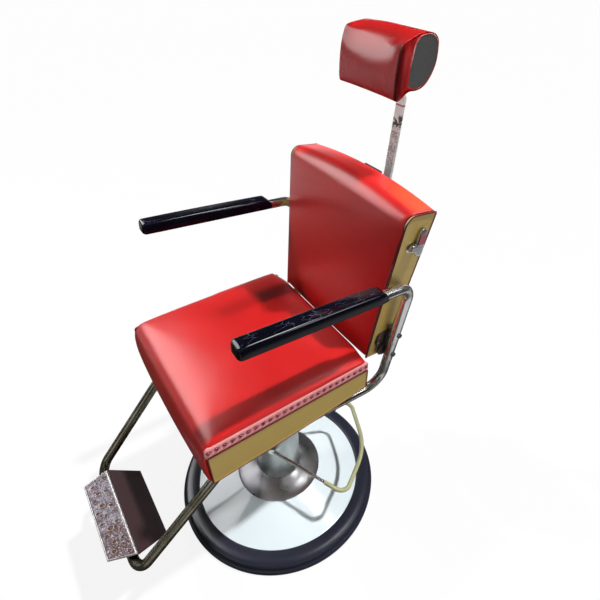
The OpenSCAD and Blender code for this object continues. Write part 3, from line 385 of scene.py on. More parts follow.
def headrest_vinyl():
    """Old vinyl, worn pale at the sleeve's ends, with painted shade in its fold."""
    mat = vinyl("vinyl_head", (0.50, 0.010, 0.011), (0.60, 0.014, 0.014), rough=0.25, coat=0.16,
                wrinkle=0.0010)
    tree, bsdf, red = reopened(mat)
    co = object_coords(tree)
    place = axes(tree, co)
    worn, fold = worn_edge(tree, co, place), shaded_fold(tree, place)
    # The fold's near-black colour is painted shade, and its weak shine goes with it.
    fold_painted_shade = mix_colour(tree, fold, red, (0.045, 0.003, 0.005))
    tree.links.new(map_range(tree, fold, 0.0, 1.0, 0.34, 0.05), bsdf.inputs["Specular IOR Level"])
    tree.links.new(map_range(tree, fold, 0.0, 1.0, 0.16, 0.0), bsdf.inputs["Coat Weight"])
    tree.links.new(mix_colour(tree, worn, fold_painted_shade, (0.72, 0.60, 0.54)), bsdf.inputs["Base Color"])
    return mat


finishes["vinyl_head"] = headrest_vinyl()
print("headrest vinyl has", len(finishes["vinyl_head"].node_tree.nodes), "nodes")

# %% [markdown]
# ## Cast metal of the footrest
# Shoes keep the tread's rim and the lips of its craters bright, while the metal between them is
# pitted and rusty. Where a piece is worn depends on its shape, which noise can't know. The mesh
# will therefore carry an attribute, made together with the craters: red on the lips, green in
# the holes and blue on the rim. The material reads it back and adds rust, specks and pits.

# %% Cast tread
BRIGHT_CAST = (0.54, 0.525, 0.525)
RUST = [(0.42, (0.25, 0.23, 0.27)), (0.54, (0.13, 0.095, 0.11)), (0.70, (0.11, 0.045, 0.03))]


def wear_marks(tree):
    """The mesh's wear attribute, as Red on lips, Green in holes and Blue on the rim."""
    attribute = tree.nodes.new("ShaderNodeAttribute")
    attribute.attribute_name = "wear"
    parts = tree.nodes.new("ShaderNodeSeparateColor")
    tree.links.new(attribute.outputs["Color"], parts.inputs["Color"])
    return parts.outputs


def pitted_rust(tree, co, pits, hole):
    """The colour between the craters: its rust ramp shifts darker towards the left end, then bright
    specks and dark pits.
    """
    one_side = math_node(tree, "MULTIPLY", map_range(tree, axes(tree, co)["X"], 0.02, 0.13), 0.14)
    blotches = tex_noise(tree, co, 48.0, 6.0, 0.7)
    rusty = ramp(tree, math_node(tree, "ADD", one_side, blotches), RUST)
    specks = map_range(tree, tex_noise(tree, co, 210.0, 4.0, 0.7), 0.52, 0.66)
    speckled = mix_colour(tree, specks, rusty, (0.50, 0.47, 0.50))
    pitted = mix_colour(tree, pits, speckled, (0.05, 0.03, 0.035))
    return mix_colour(tree, hole, pitted, (0.15, 0.065, 0.04))


def cast_tread():
    """A cast plate: polished on its rim and crater lips, pitted and rusty in between."""
    mat, tree, bsdf = new_material("tread_cast")
    co = object_coords(tree)
    marks = wear_marks(tree)
    pits = map_range(tree, tex_noise(tree, co, 300.0, 3.0, 0.7), 0.46, 0.36)
    dull = pitted_rust(tree, co, pits, marks["Green"])
    lip = math_node(tree, "MULTIPLY", map_range(tree, marks["Red"], 0.6, 0.95), 0.42)
    shine = math_node(tree, "MAXIMUM", marks["Blue"], lip)
    tree.links.new(mix_colour(tree, shine, dull, BRIGHT_CAST), bsdf.inputs["Base Color"])
    tree.links.new(map_range(tree, shine, 0.0, 1.0, 0.35, 0.8), bsdf.inputs["Metallic"])
    tree.links.new(map_range(tree, shine, 0.0, 1.0, 0.42, 0.32), bsdf.inputs["Roughness"])
    rough_cast = add_bump(tree, bsdf, tex_noise(tree, co, 160.0, 5.0, 0.7), 0.0005)
    add_bump(tree, bsdf, pits, -0.0003, below=rough_cast)
    return mat


finishes["tread_cast"] = cast_tread()
print("cast tread has", len(finishes["tread_cast"].node_tree.nodes), "nodes")

# %% [markdown]
# ## Rolled scales on the headrest's bar
# The bar that carries the headrest slides in a clamp. It is rolled with small scales where the
# clamp grips, has dark worn marks above them, and a thin painted line near the top. Real scales
# could be cut as a displaced mesh, but at this size a bump does it: Voronoi cells give the
# scales, and the height along the bar says where each of the marks begins and ends. The grooves
# between the scales are also painted darker, as painted shade.

# %% Knurled bar
SCALE_CELLS = 270.0
SCALES_AT = (1.060, 1.090, 1.164, 1.172)
MARKS_AT = (1.170, 1.176, 1.200, 1.206)
LINE_AT = (1.2225, 1.2235, 1.2260, 1.2270)


def knurled_bar():
    """A satin bar with rolled scales along its middle, painted shade in their grooves, and worn dark
    marks above them.
    """
    mat = metal("bar_chrome", (0.95, 0.94, 0.92), 0.40)
    tree, bsdf, satin = reopened(mat)
    bsdf.inputs["Metallic"].default_value = 0.35
    co = object_coords(tree)
    height = axes(tree, co)["Z"]
    cells = tree.nodes.new("ShaderNodeTexVoronoi")
    cells.inputs["Scale"].default_value = SCALE_CELLS
    cells.inputs["Randomness"].default_value = 0.55
    tree.links.new(co, cells.inputs["Vector"])
    grooves = map_range(tree, cells.outputs["Distance"], 0.38, 0.64)
    rolled = math_node(tree, "MULTIPLY", between(tree, height, *SCALES_AT), grooves)
    smears = map_range(tree, tex_noise(tree, co, 110.0, 4.0, 0.7), 0.45, 0.53)
    worn = math_node(tree, "MULTIPLY", between(tree, height, *MARKS_AT), smears)
    add_bump(tree, bsdf, rolled, -0.0008)
    # The sunk grooves between the scales are painted darker: painted shade.
    groove_shade_and_marks = mix_colour(tree, rolled, satin, (0.32, 0.30, 0.28))
    groove_shade_and_marks = mix_colour(tree, worn, groove_shade_and_marks, (0.05, 0.045, 0.045))
    lined = mix_colour(tree, between(tree, height, *LINE_AT), groove_shade_and_marks, (0.42, 0.10, 0.14))
    tree.links.new(lined, bsdf.inputs["Base Color"])
    return mat


finishes["bar_chrome"] = knurled_bar()
print("knurled bar has", len(finishes["bar_chrome"].node_tree.nodes), "nodes")

# %% [markdown]
# ## Two chromes with painted dark colour
# The side tubes keep their bright chrome above and are painted a dark olive lower down, a painted
# reflection of the dark room round the legs. The flange round the column is painted darker on
# the side towards its front right, as painted shade. Two chromes side by side would leave a hard
# edge between them, so one metal is blended with its darker colour along a direction of the chair.

# %% Tube and flange chrome
def tube_chrome():
    """Chromed tube, bright above, painted a dark olive down its legs as a painted dark reflection."""
    mat = metal("tube_chrome", (0.78, 0.78, 0.78), 0.21, 0.10)
    tree, bsdf, bright = reopened(mat)
    co = object_coords(tree)
    # Below the seat the colour blends to a dark olive: a painted reflection of the dark room.
    low = map_range(tree, axes(tree, co)["Z"], 0.66, 0.50)
    patches = map_range(tree, tex_noise(tree, co, 18.0, 4.0), 0.35, 0.65)
    painted_dark_reflection = mix_colour(tree, patches, (0.20, 0.185, 0.125), (0.32, 0.30, 0.235))
    tree.links.new(mix_colour(tree, low, bright, painted_dark_reflection), bsdf.inputs["Base Color"])
    return mat


def flange_chrome():
    """Satin chrome, painted darker towards its front right quarter as painted shade."""
    mat = metal("flange_chrome", (0.66, 0.65, 0.67), 0.27, 0.05)
    tree, bsdf, bright = reopened(mat)
    place = axes(tree, object_coords(tree))
    slant = math_node(tree, "ADD", math_node(tree, "MULTIPLY", place["Y"], 1.2), place["X"])
    # The front right quarter is painted dark: painted shade that keeps the window's reflection from
    # glaring there.
    dull = map_range(tree, slant, -0.01, -0.07)
    tree.links.new(mix_colour(tree, dull, bright, (0.11, 0.108, 0.115)), bsdf.inputs["Base Color"])
    return mat


finishes["tube_chrome"] = tube_chrome()
finishes["flange_chrome"] = flange_chrome()
print("now", len(finishes), "finishes")

# %% [markdown]
# ## Dress the solids
# Every solid names the finish it should have. A few of them share a name but get finishes of their
# own: rolled scales, a painted dark reflection or painted shade. Those are listed by their own names
# and looked up first. Only the material is set: the solid's mesh and place stay as they came.

# %% Give each solid its finish
OWN_FINISH = {"headrest_bar": "bar_chrome", "column_flange": "flange_chrome",
              "side_tube_left": "tube_chrome", "side_tube_right": "tube_chrome",
              "footrest_tube": "tube_chrome"}

for part in frame["record"]["subparts"]:
    solid = nodes[part["node"]]
    solid.data.materials.clear()
    solid.data.materials.append(finishes[OWN_FINISH.get(part["node"], part["material_slot"])])

# %% [markdown]
# ## Turn a bmesh into a piece of the chair
# A bmesh is Blender's workbench for shapes. When a shape is done it becomes an object, and the
# object is told which body it rides on and which solids it stands in for. The same steps happen
# for every piece, so they share a function, and it prints the piece's size.

# %% Objects and their bodies
def add_object(name, bm, material, smooth=True):
    """An object from a bmesh that is already in its place."""
    mesh = bpy.data.meshes.new(name)
    bm.normal_update()
    bm.to_mesh(mesh)
    bm.free()
    for face in mesh.polygons:
        face.use_smooth = smooth
    mesh.materials.append(material)
    obj = bpy.data.objects.new(name, mesh)
    bpy.context.scene.collection.objects.link(obj)
    return obj


def finish_piece(obj, body, replaced=()):
    """Puts the piece on its body and in the place of the solids it replaces."""
    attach(obj, body)
    if replaced:
        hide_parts(*replaced)
    spans = [[v.co[axis] for v in obj.data.vertices] for axis in range(3)]
    size = [round(1000 * (max(span) - min(span))) for span in spans]
    print(obj.name, "on", body, "is", size, "mm, with", len(obj.data.polygons), "faces")


# %% [markdown]
# ## Even meshes and rounded copies
# A cushion that swells, or a cast lever with soft edges, needs faces of about one size all over.
# A plain solid has a few huge ones. The Remesh modifier in voxel mode covers any closed shape
# with an even net, and moving each vertex towards its neighbours a few times rounds the edges.

# %% Remesh and relax
def remeshed(bm, voxel):
    """The closed shape covered with an even net of faces about one voxel wide."""
    mesh = bpy.data.meshes.new("form")
    bm.to_mesh(mesh)
    obj = bpy.data.objects.new("form", mesh)
    bpy.context.scene.collection.objects.link(obj)
    even = obj.modifiers.new("even", "REMESH")
    even.mode = "VOXEL"
    even.voxel_size = voxel
    bm.clear()
    bm.from_object(obj, bpy.context.evaluated_depsgraph_get())
    bpy.data.objects.remove(obj)
    return bm


def relax(bm, rounds):
    """Moves every vertex half way to its neighbours' middle, so that edges become round."""
    for _ in range(rounds):
        bmesh.ops.smooth_vert(bm, verts=bm.verts, factor=0.5, use_axis_x=True, use_axis_y=True,
                              use_axis_z=True)


# %% [markdown]
# ## The polished clamp lever
# The lever that locks the headrest's bar is a small chromed casting without a sharp edge on it.
# It could be built again by hand, but its solid already has the right outline, so a copy of the
# solid is merged, covered with a fine net and relaxed.

# %% Clamp lever
LEVER_NET = 0.0009
LEVER_ROUNDS = 9

lever_form = bmesh.new()
lever_form.from_mesh(nodes["clamp_lever"].data)
lever_form.transform(nodes["clamp_lever"].matrix_world)
bmesh.ops.remove_doubles(lever_form, verts=lever_form.verts, dist=1e-6)
lever_form = remeshed(lever_form, LEVER_NET)
relax(lever_form, LEVER_ROUNDS)
lever = add_object("clamp_lever_polished", lever_form, finishes["screw_chrome"])
finish_piece(lever, "clamp", ("clamp_lever",))

# %% [markdown]
# ## The plunger's spring
# A compression spring under the foot lever lifts the pump's plunger again after each stroke. Its
# solid is only a sleeve that keeps the spring's space, so the wire is wound here inside that
# space. A path with a bar along it would do, but a spin is shorter: a circle of wire is set
# across the start of the first turn, tilted by the slope of the winding, and spun round the
# plunger with a small rise at each step.

# %% Measure the spring's space
corners = [nodes["plunger_spring"].matrix_world @ v.co for v in nodes["plunger_spring"].data.vertices]
spring_low = Vector(map(min, zip(*corners)))
spring_high = Vector(map(max, zip(*corners)))
spring_middle = (spring_low + spring_high) / 2
reaches = [math.hypot(p.x - spring_middle.x, p.y - spring_middle.y) for p in corners]
wire_radius = (max(reaches) - min(reaches)) / 2
coil_radius = (max(reaches) + min(reaches)) / 2
spring_length = spring_high.z - spring_low.z
print("the spring is", round(1000 * spring_length, 1), "mm long, its wire",
      round(2000 * wire_radius, 2), "mm thick")

# %% Wind the spring
STEPS_A_TURN = 24
WIRE_SIDES = 12
WIRE_SHARE = 0.94
WINDING_GAP = 2.8

rise = spring_length - 2 * wire_radius
turns = max(2, int(rise / (WINDING_GAP * wire_radius)))
slope = math.atan2(rise / turns, 2 * math.pi * coil_radius)
first_turn = Vector((spring_middle.x + coil_radius, spring_middle.y, spring_low.z + wire_radius))

bm = bmesh.new()
across = Matrix.Translation(first_turn) @ Matrix.Rotation(slope - math.pi / 2, 4, "X")
bmesh.ops.create_circle(bm, segments=WIRE_SIDES, radius=WIRE_SHARE * wire_radius, matrix=across)
bmesh.ops.spin(bm, geom=bm.verts[:] + bm.edges[:], cent=spring_middle, axis=(0, 0, 1),
               dvec=(0, 0, rise / (STEPS_A_TURN * turns)), angle=2 * math.pi * turns,
               steps=STEPS_A_TURN * turns, use_merge=False)
bmesh.ops.edgeloop_fill(bm, edges=[edge for edge in bm.edges if edge.is_boundary])
bmesh.ops.recalc_face_normals(bm, faces=bm.faces)
coil = add_object("plunger_spring_coil", bm, finishes["steel_dark"])
finish_piece(coil, "plunger", ("plunger_spring",))
print("wound", turns, "turns")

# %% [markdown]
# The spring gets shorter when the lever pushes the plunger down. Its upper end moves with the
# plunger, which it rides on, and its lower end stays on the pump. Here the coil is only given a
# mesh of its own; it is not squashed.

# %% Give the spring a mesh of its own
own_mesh(coil)

# %% [markdown]
# ## Cushions: from a plain form to a swollen cover
# A cushion is a board, a block of foam and a cover that is pulled tight over both. Its corners
# are crisp where the cover is nailed down and its faces swell where nothing holds it. Sculpting
# that by hand is slow. Each cover here starts as its side outline, drawn out to its width and
# remeshed. A function then moves its points into the main shape, a short cloth simulation with
# some air pressure lets the free parts swell, and a last smoothing takes out the net's marks.

# %% Easing and outlines
def smoothstep(start, end, x):
    """Goes from 0 at start to 1 at end without a corner at either."""
    t = min(1.0, max(0.0, (x - start) / (end - start)))
    return t * t * (3 - 2 * t)


def crown(t, power, soft):
    """1 in the middle, falling to 0 at t = -1 and t = 1."""
    return max(0.0, 1 - abs(t) ** power) ** soft


def corner_arc(y, z, radius, start, end, steps=8):
    """Points of an arc round (y, z) from one angle to another, in degrees."""
    angles = [math.radians(start + (end - start) * i / steps) for i in range(steps + 1)]
    return [(y + radius * math.cos(a), z + radius * math.sin(a)) for a in angles]


print("a quarter of the way, smoothstep gives", smoothstep(0, 1, 0.25))


# %% Draw an outline out to a cushion's width
COVER_NET = 0.006


def drawn_out(outline, half_width):
    """The closed (y, z) outline as a face, extruded from one side to the other and remeshed."""
    bm = bmesh.new()
    side = bm.faces.new([bm.verts.new((-half_width, y, z)) for y, z in outline])
    made = bmesh.ops.extrude_face_region(bm, geom=[side], use_keep_orig=True)
    far = [item for item in made["geom"] if isinstance(item, bmesh.types.BMVert)]
    bmesh.ops.translate(bm, vec=(2 * half_width, 0, 0), verts=far)
    bmesh.ops.recalc_face_normals(bm, faces=bm.faces)
    return remeshed(bm, COVER_NET)


# %% [markdown]
# The cloth pass runs for a few frames only. A vertex group pins the places where the cover is
# held: a weight of 1 holds a point still. Stiff tension and compression stop the vinyl from
# stretching like a balloon, and no gravity acts, since foam carries the cover. Afterwards each
# point's way is cut to a limit, so that no part of a cover can wander off.

# %% Let a cover swell
def cloth_settings(cloth, pressure, frames):
    """A stiff, light sheet with air behind it."""
    cloth.settings.quality = 5
    cloth.settings.mass = 0.3
    cloth.settings.tension_stiffness = 60
    cloth.settings.compression_stiffness = 60
    cloth.settings.shear_stiffness = 20
    cloth.settings.bending_stiffness = 4
    cloth.settings.use_pressure = True
    cloth.settings.uniform_pressure_force = pressure
    cloth.settings.vertex_group_mass = "pin"
    cloth.settings.pin_stiffness = 2.0
    cloth.settings.effector_weights.gravity = 0
    cloth.point_cache.frame_start = 1
    cloth.point_cache.frame_end = frames


def cloth_pass(obj, pressure, furthest, free, frames=20):
    """Lets the cover swell; free(point), 0 to 1, says how far a point may leave its place."""
    scene = bpy.context.scene
    start = [v.co.copy() for v in obj.data.vertices]
    pin = obj.vertex_groups.new(name="pin")
    for v in obj.data.vertices:
        pin.add([v.index], 1.0 - min(1.0, free(v.co)), "REPLACE")
    cloth = obj.modifiers.new("cloth", "CLOTH")
    cloth_settings(cloth, pressure, frames)
    for number in range(1, frames + 1):
        scene.frame_set(number)
    settled = obj.evaluated_get(bpy.context.evaluated_depsgraph_get()).data
    swollen = [v.co.copy() for v in settled.vertices]
    obj.modifiers.remove(cloth)
    obj.vertex_groups.remove(pin)
    scene.frame_set(1)
    for v, before, after in zip(obj.data.vertices, start, swollen):
        way = after - before
        limit = furthest * min(1.0, free(before))
        v.co = before + way * min(1.0, limit / max(way.length, 1e-9))
    print(obj.name, "swelled by up to", round(1000 * furthest), "mm")


# %% Smooth a cover
def soften(obj, rounds=3):
    """Relaxes the cover and divides its faces once, so that its outline is smooth up close."""
    bm = bmesh.new()
    bm.from_mesh(obj.data)
    relax(bm, rounds)
    bm.to_mesh(obj.data)
    bm.free()
    finer = obj.modifiers.new("finer", "SUBSURF")
    finer.levels = finer.render_levels = 1
    obj.data = bpy.data.meshes.new_from_object(obj.evaluated_get(bpy.context.evaluated_depsgraph_get()))
    obj.modifiers.remove(finer)
    for face in obj.data.polygons:
        face.use_smooth = True


# %% [markdown]
# ## The seat
# One piece of red vinyl runs over the seat from the rear edge and down its front, where it
# bulges a little. At both sides it is held by a nailed strip, so it is flat there and tucked
# under the strip's thickness. The outline gives the rolled edges, and the function below adds
# the dome, the belly at the front, the dropped rear corners and the tucked sides.

# %% Sizes of the seat
SEAT_HALF = 0.2237
SEAT_FRONT = -0.273
SEAT_REAR = 0.160
SEAT_LOW = 0.5755
SEAT_MID = (SEAT_FRONT + SEAT_REAR) / 2
SEAT_REACH = (SEAT_REAR - SEAT_FRONT) / 2 + 0.004
SEAT_DOME = 0.0245
SEAT_BELLY = 0.013
SEAT_FORM_HALF = SEAT_HALF - 0.0001
TUCKED_AT = 0.2170
STRIP_HIDES = 0.19

SEAT_OUTLINE = (corner_arc(-0.244, 0.676, 0.031, 180, 90, 10) + corner_arc(0.148, 0.697, 0.012, 90, 0, 6)
                + [(0.160, 0.611), (0.150, 0.614), (-0.262, 0.614), (-0.262, SEAT_LOW)]
                + corner_arc(-0.269, SEAT_LOW + 0.006, 0.006, -90, -180, 4))
print("the seat's outline has", len(SEAT_OUTLINE), "points")


# %% Shape the seat
def seat_height(x, y, z):
    """How much higher the padding carries the cover at a point."""
    rise = smoothstep(0.658, 0.703, z)
    nx = x / (SEAT_HALF + 0.0001)
    ny = (y - SEAT_MID) / SEAT_REACH
    across = 0.62 * crown(nx, 9, 0.62) + 0.38 * crown(nx, 2.2, 1.0)
    along = 0.6 * crown(ny, 8, 0.7) + 0.4 * crown(ny, 2.4, 1.0)
    along = 0.86 * along + 0.14 * smoothstep(-0.262, -0.15, y) * crown(ny, 6, 0.8)
    return SEAT_DOME * rise * across * along + 0.0010 * rise * (1 - across)


def seat_tuck(x, y, z):
    """Where the cover's side goes: in under the strips, and slightly out on the front."""
    if abs(x) <= STRIP_HIDES:
        return x
    under_strip = smoothstep(-0.2705, -0.267, y) * (1 - smoothstep(0.698, 0.7035, z))
    side = smoothstep(STRIP_HIDES, 0.216, abs(x))
    held = math.copysign(TUCKED_AT, x) * side + x * (1 - side)
    proud = math.copysign(abs(x) + 0.0008 * side, x)
    return held * under_strip + proud * (1 - under_strip)


def shape_seat(co):
    """Where a point of the seat's plain form goes."""
    x, y, z = co
    nx = x / (SEAT_HALF + 0.0001)
    rear_corner = (smoothstep(0.13, 0.16, y) * smoothstep(0.16, 0.222, abs(x))
                   * smoothstep(0.690, 0.708, z))
    z += seat_height(x, y, z)
    up_front = min(1.0, max(0.0, (z - SEAT_LOW) / 0.132))
    belly = smoothstep(-0.20, -0.268, y) * max(0.0, math.sin(math.pi * up_front ** 0.85))
    y -= SEAT_BELLY * belly * (0.45 + 0.55 * crown(nx, 2.2, 0.8)) + 0.012 * rear_corner
    return Vector((seat_tuck(x, co.y, z), y, z))


crest = seat_height(0, SEAT_MID, 0.703)
print("the padding lifts the middle of the seat by", round(1000 * crest, 1), "mm")


# %% Upholster the seat
def seat_free(co):
    """The top and the front may swell, but not near the strips."""
    top = smoothstep(0.702, 0.716, co.z) * smoothstep(0.215, 0.18, abs(co.x))
    front = (smoothstep(-0.270, -0.279, co.y) * smoothstep(0.585, 0.61, co.z)
             * smoothstep(0.216, 0.18, abs(co.x)))
    return max(top, front)


bm = drawn_out(SEAT_OUTLINE, SEAT_FORM_HALF)
for v in bm.verts:
    v.co = shape_seat(v.co)
seat = add_object("seat_upholstery", bm, finishes["vinyl_red"])
cloth_pass(seat, 4.0, 0.005, seat_free)
soften(seat)
finish_piece(seat, "seat", ("seat_cushion", "seat_front_cover", "seat_rear_cover"))

# %% [markdown]
# ## The back
# The back is a wedge-shaped board, thicker and wider at the top, with an arched upper edge. Red
# vinyl covers its front and top and ends at the sides in a fine lip, and what lies behind and
# under the side panels is maroon. It is easier to shape upright, in its own measures, and leaned
# back at the end, so the matrix that leans it is made here and used again for its piping.

# %% Sizes of the back
BACK_LEAN = math.radians(6.5)
BACK_FOOT = (0, 0.177, 0.674)
BACK_HEIGHT = 0.416
BACK_HALF_LOW = 0.192
BACK_HALF_TOP = 0.222
BACK_DEEP_LOW = 0.062
BACK_DEEP_TOP = 0.088
BACK_ARCH = 0.017
BACK_SWELL = 0.0170
ROLL = 0.026
ROLL_AT = 0.390
LIP = 0.0022
LIP_WIDTH = 0.0055

LEANED = Matrix.Translation(BACK_FOOT) @ Matrix.Rotation(-BACK_LEAN, 4, "X")
BACK_OUTLINE = (corner_arc(0.012, 0.012, 0.012, 270, 180, 5)
                + corner_arc(ROLL, ROLL_AT, ROLL, 180, 90, 9)
                + corner_arc(0.070, 0.410, 0.005, 90, 0, 5)
                + corner_arc(0.073, 0.004, 0.002, 0, -90, 3))
print("the back leans by", round(math.degrees(BACK_LEAN), 1), "degrees")


# %% Shape the back
def back_half(z):
    """Half the back's width at a height."""
    return BACK_HALF_LOW + (BACK_HALF_TOP - BACK_HALF_LOW) * z / BACK_HEIGHT


def back_skin(y, z):
    """How deep a point lies under the front or the top, and which way is out there."""
    rear_top = ROLL + ROLL_AT - 0.001
    if y < ROLL and z > ROLL_AT:
        return ROLL - math.hypot(ROLL - y, z - ROLL_AT), y - ROLL, z - ROLL_AT
    if y < rear_top - z:
        return y, -1.0, 0.0
    return rear_top - z, 0.0, 1.0


def back_depth(y, z):
    """Spreads the form's even depth to the wedge that the real back is."""
    if y <= ROLL:
        return y
    deep = BACK_DEEP_LOW + (BACK_DEEP_TOP - BACK_DEEP_LOW) * z / BACK_HEIGHT
    deep += 0.0056 * smoothstep(0.4095, 0.4125, z) - 0.0066
    return ROLL + (y - ROLL) * (deep - ROLL) / 0.049


def back_swell(nx, s):
    """How far the padding pushes the front out, from 0 at its edges."""
    across = 0.5 * crown(nx, 5, 0.8) + 0.5 * crown(nx, 2, 1.0)
    upward = 0.55 * crown(2 * s - 1, 6, 0.8) + 0.45 * crown(2 * s - 1, 2, 1.0)
    return BACK_SWELL * across * upward


def shape_back(co):
    """Where a point of the back's plain form goes, before the back is leaned."""
    x, y, z = co
    s = z / BACK_HEIGHT
    nx = x / BACK_HALF_TOP
    inside, out_y, out_z = back_skin(y, z)
    turned_down = smoothstep(LIP_WIDTH, 0.001, inside)
    lip = LIP * turned_down / max(1e-6, math.hypot(out_y, out_z))
    x = nx * (back_half(z) - 0.0045 + 0.0050 * turned_down)
    y = back_depth(y, z) - smoothstep(0.024, 0.0, co.y) * back_swell(nx, s)
    z += BACK_ARCH * smoothstep(0.45, 1.0, s) * (1 - nx * nx)
    return Vector((x, y + lip * out_y, z + lip * out_z))


print("the padding pushes the middle of the back out by", round(1000 * back_swell(0, 0.5), 1), "mm")


# %% Upholster the back
def back_free(co):
    """The front may swell, but not near its edges."""
    off_middle = abs(co.x) / (back_half(co.z) - 0.004)
    return (smoothstep(0.014, -0.006, co.y) * smoothstep(1.0, 0.86, off_middle)
            * smoothstep(0.004, 0.04, co.z))


bm = drawn_out(BACK_OUTLINE, BACK_HALF_TOP)
for v in bm.verts:
    v.co = shape_back(v.co)
back = add_object("back_upholstery", bm, finishes["vinyl_red"])
cloth_pass(back, 4.0, 0.004, back_free)
soften(back)
back.data.materials.append(finishes["vinyl_maroon"])
for face in back.data.polygons:
    if abs(face.normal.x) > 0.5 or face.normal.y > 0.6:
        face.material_index = 1
back.data.transform(LEANED)
finish_piece(back, "back", ("back_cushion", "back_top_cover"))

# %% [markdown]
# ## Skins over rings
# The headrest's sleeve, the arm pads and the piping are all skins over a row of rings: closed
# loops of edges that change a little from one to the next. Bridge Edge Loops lays faces between
# two neighbouring loops, and Fill closes the first and the last. Keeping the same number of
# points in every ring gives clean quads.

# %% Rings and the skin over them
def ring_of(bm, points):
    """A closed loop of edges through the points."""
    verts = [bm.verts.new(point) for point in points]
    return [bm.edges.new(pair) for pair in zip(verts, verts[1:] + verts[:1])]


def skin_over(bm, rings, closed=False):
    """Bridges neighbouring rings, and fills both ends or joins them."""
    following = rings[1:] + rings[:1] if closed else rings[1:]
    for near, far in zip(rings, following):
        bmesh.ops.bridge_loops(bm, edges=near + far)
    if not closed:
        for end in (rings[0], rings[-1]):
            bmesh.ops.edgeloop_fill(bm, edges=end)
    bmesh.ops.recalc_face_normals(bm, faces=bm.faces)
    return bm


def spline(points, per=6, closed=False):
    """A smooth curve through the points, with per steps from each to the next."""
    n = len(points)
    curve = []
    for i in range(n if closed else n - 1):
        before = points[(i - 1) % n] if closed or i > 0 else points[0]
        here, after = points[i], points[(i + 1) % n]
        beyond = points[(i + 2) % n] if closed or i + 2 < n else points[-1]
        for t in (k / per for k in range(per)):
            curve.append(tuple(0.5 * (2 * b + (c - a) * t + (2 * a - 5 * b + 4 * c - d) * t * t
                                      + (3 * b - a - 3 * c + d) * t ** 3)
                               for a, b, c, d in zip(before, here, after, beyond)))
    return curve if closed else curve + [tuple(points[-1])]


# %% [markdown]
# ## The headrest
# A loose vinyl sleeve is stretched round two grey end plates. Seen from the side it is full and
# rounded; its lower front edge hangs down like a lip, and just inside each plate the sleeve dips
# into a crease before it wraps the plate's edge. Cloth alone would need a long simulation to find
# those folds, so the sleeve is built of rings. Four outlines, in millimetres from the pivot,
# give the shape of the plates, of both ends and of the soft middle.

# %% Outlines of the headrest, as (forward and back, up)
HEAD_BELOW = [(29, 67.5), (38, 57), (40.5, 38), (39.5, 17), (31.5, -3), (20, -18), (7, -26), (-8, -29),
              (-26, -29), (-40, -36)]
HEAD_LEFT = [(-58, -45), (-61, -38), (-62, -20), (-62, 5), (-61, 30), (-59.5, 48), (-57, 57), (-46, 62),
             (-30, 67.5), (-12, 72), (4, 73.5), (17, 72.5)] + HEAD_BELOW + [(-51, -44)]
HEAD_RIGHT = [(-58, -45), (-61, -38), (-62, -20), (-61.5, 5), (-59, 30), (-54, 50), (-50, 60), (-46, 65),
              (-34, 69), (-12, 72), (4, 73.5), (17, 72.5)] + HEAD_BELOW + [(-51, -44)]
HEAD_SOFT = [(-57, -44), (-61, -38), (-63, -20), (-62.5, 0), (-59.5, 18), (-54, 33), (-46, 47), (-35, 59),
             (-21, 68), (-6, 73), (6, 74), (17, 72.5)] + HEAD_BELOW + [(-51, -44)]
HEAD_PLATE = [(-31, -17), (-32, 2), (-25, 42), (-21, 57), (-14, 66), (2, 70), (15, 69), (26, 64),
              (34, 55), (37, 38), (36, 17), (28, -1), (17, -15), (5, -22), (-7, -24.5), (-21, -23)]
HEAD_MID = (-8, 18)
HEAD_RAYS = 160
HEAD_ANGLES = [2 * math.pi * k / HEAD_RAYS for k in range(HEAD_RAYS)]


def reach_along(angle, outline):
    """How far the outline lies from HEAD_MID in one direction."""
    c, s = math.cos(angle), math.sin(angle)
    furthest = 0.0
    for (y0, z0), (y1, z1) in zip(outline, outline[1:] + outline[:1]):
        ey, ez = y1 - y0, z1 - z0
        crossing = c * ez - s * ey
        if abs(crossing) < 1e-9:
            continue
        py, pz = y0 - HEAD_MID[0], z0 - HEAD_MID[1]
        away = (py * ez - pz * ey) / crossing
        share = (py * s - pz * c) / crossing
        if away > 0 and -1e-6 <= share <= 1 + 1e-6:
            furthest = max(furthest, away)
    return furthest


# %% Measure the outlines ray by ray
def reaches_round(outline):
    return [reach_along(angle, outline) for angle in HEAD_ANGLES]


left_reach = reaches_round(spline(HEAD_LEFT, 4, closed=True))
right_reach = reaches_round(spline(HEAD_RIGHT, 4, closed=True))
soft_reach = reaches_round(spline(HEAD_SOFT, 4, closed=True))
plate_reach = reaches_round(HEAD_PLATE)
faces_front = [smoothstep(0.30, 0.75, -math.cos(a)) for a in HEAD_ANGLES]
print("the sleeve reaches", round(max(left_reach)), "mm from its middle")

# %% [markdown]
# Each ring lies between the plate's outline and the sleeve's full one. Near the ends it takes a
# smaller share of the way on the front than elsewhere, which makes the crease, and towards the
# middle it gives way to the soft outline.

# %% Rings of the sleeve
SLEEVE_EDGE = 0.0915
RIGHT_DROOP = 0.003
WRAPPED_END = [(0.0890, -0.04, -0.04), (0.0940, -0.01, -0.01), (0.0960, 0.03, 0.10), (0.0958, 0.07, 0.35),
               (0.0935, 0.2, 0.60), (0.0890, 0.4, 0.75), (0.0872, 0.6, 0.84), (0.0885, 0.78, 0.90),
               (0.0935, 0.93, 0.95), (0.0952, 0.99, 0.97)]
SLEEVE_AT = [SLEEVE_EDGE, 0.086, 0.076, 0.064, 0.050, 0.033, 0.016, 0.0]


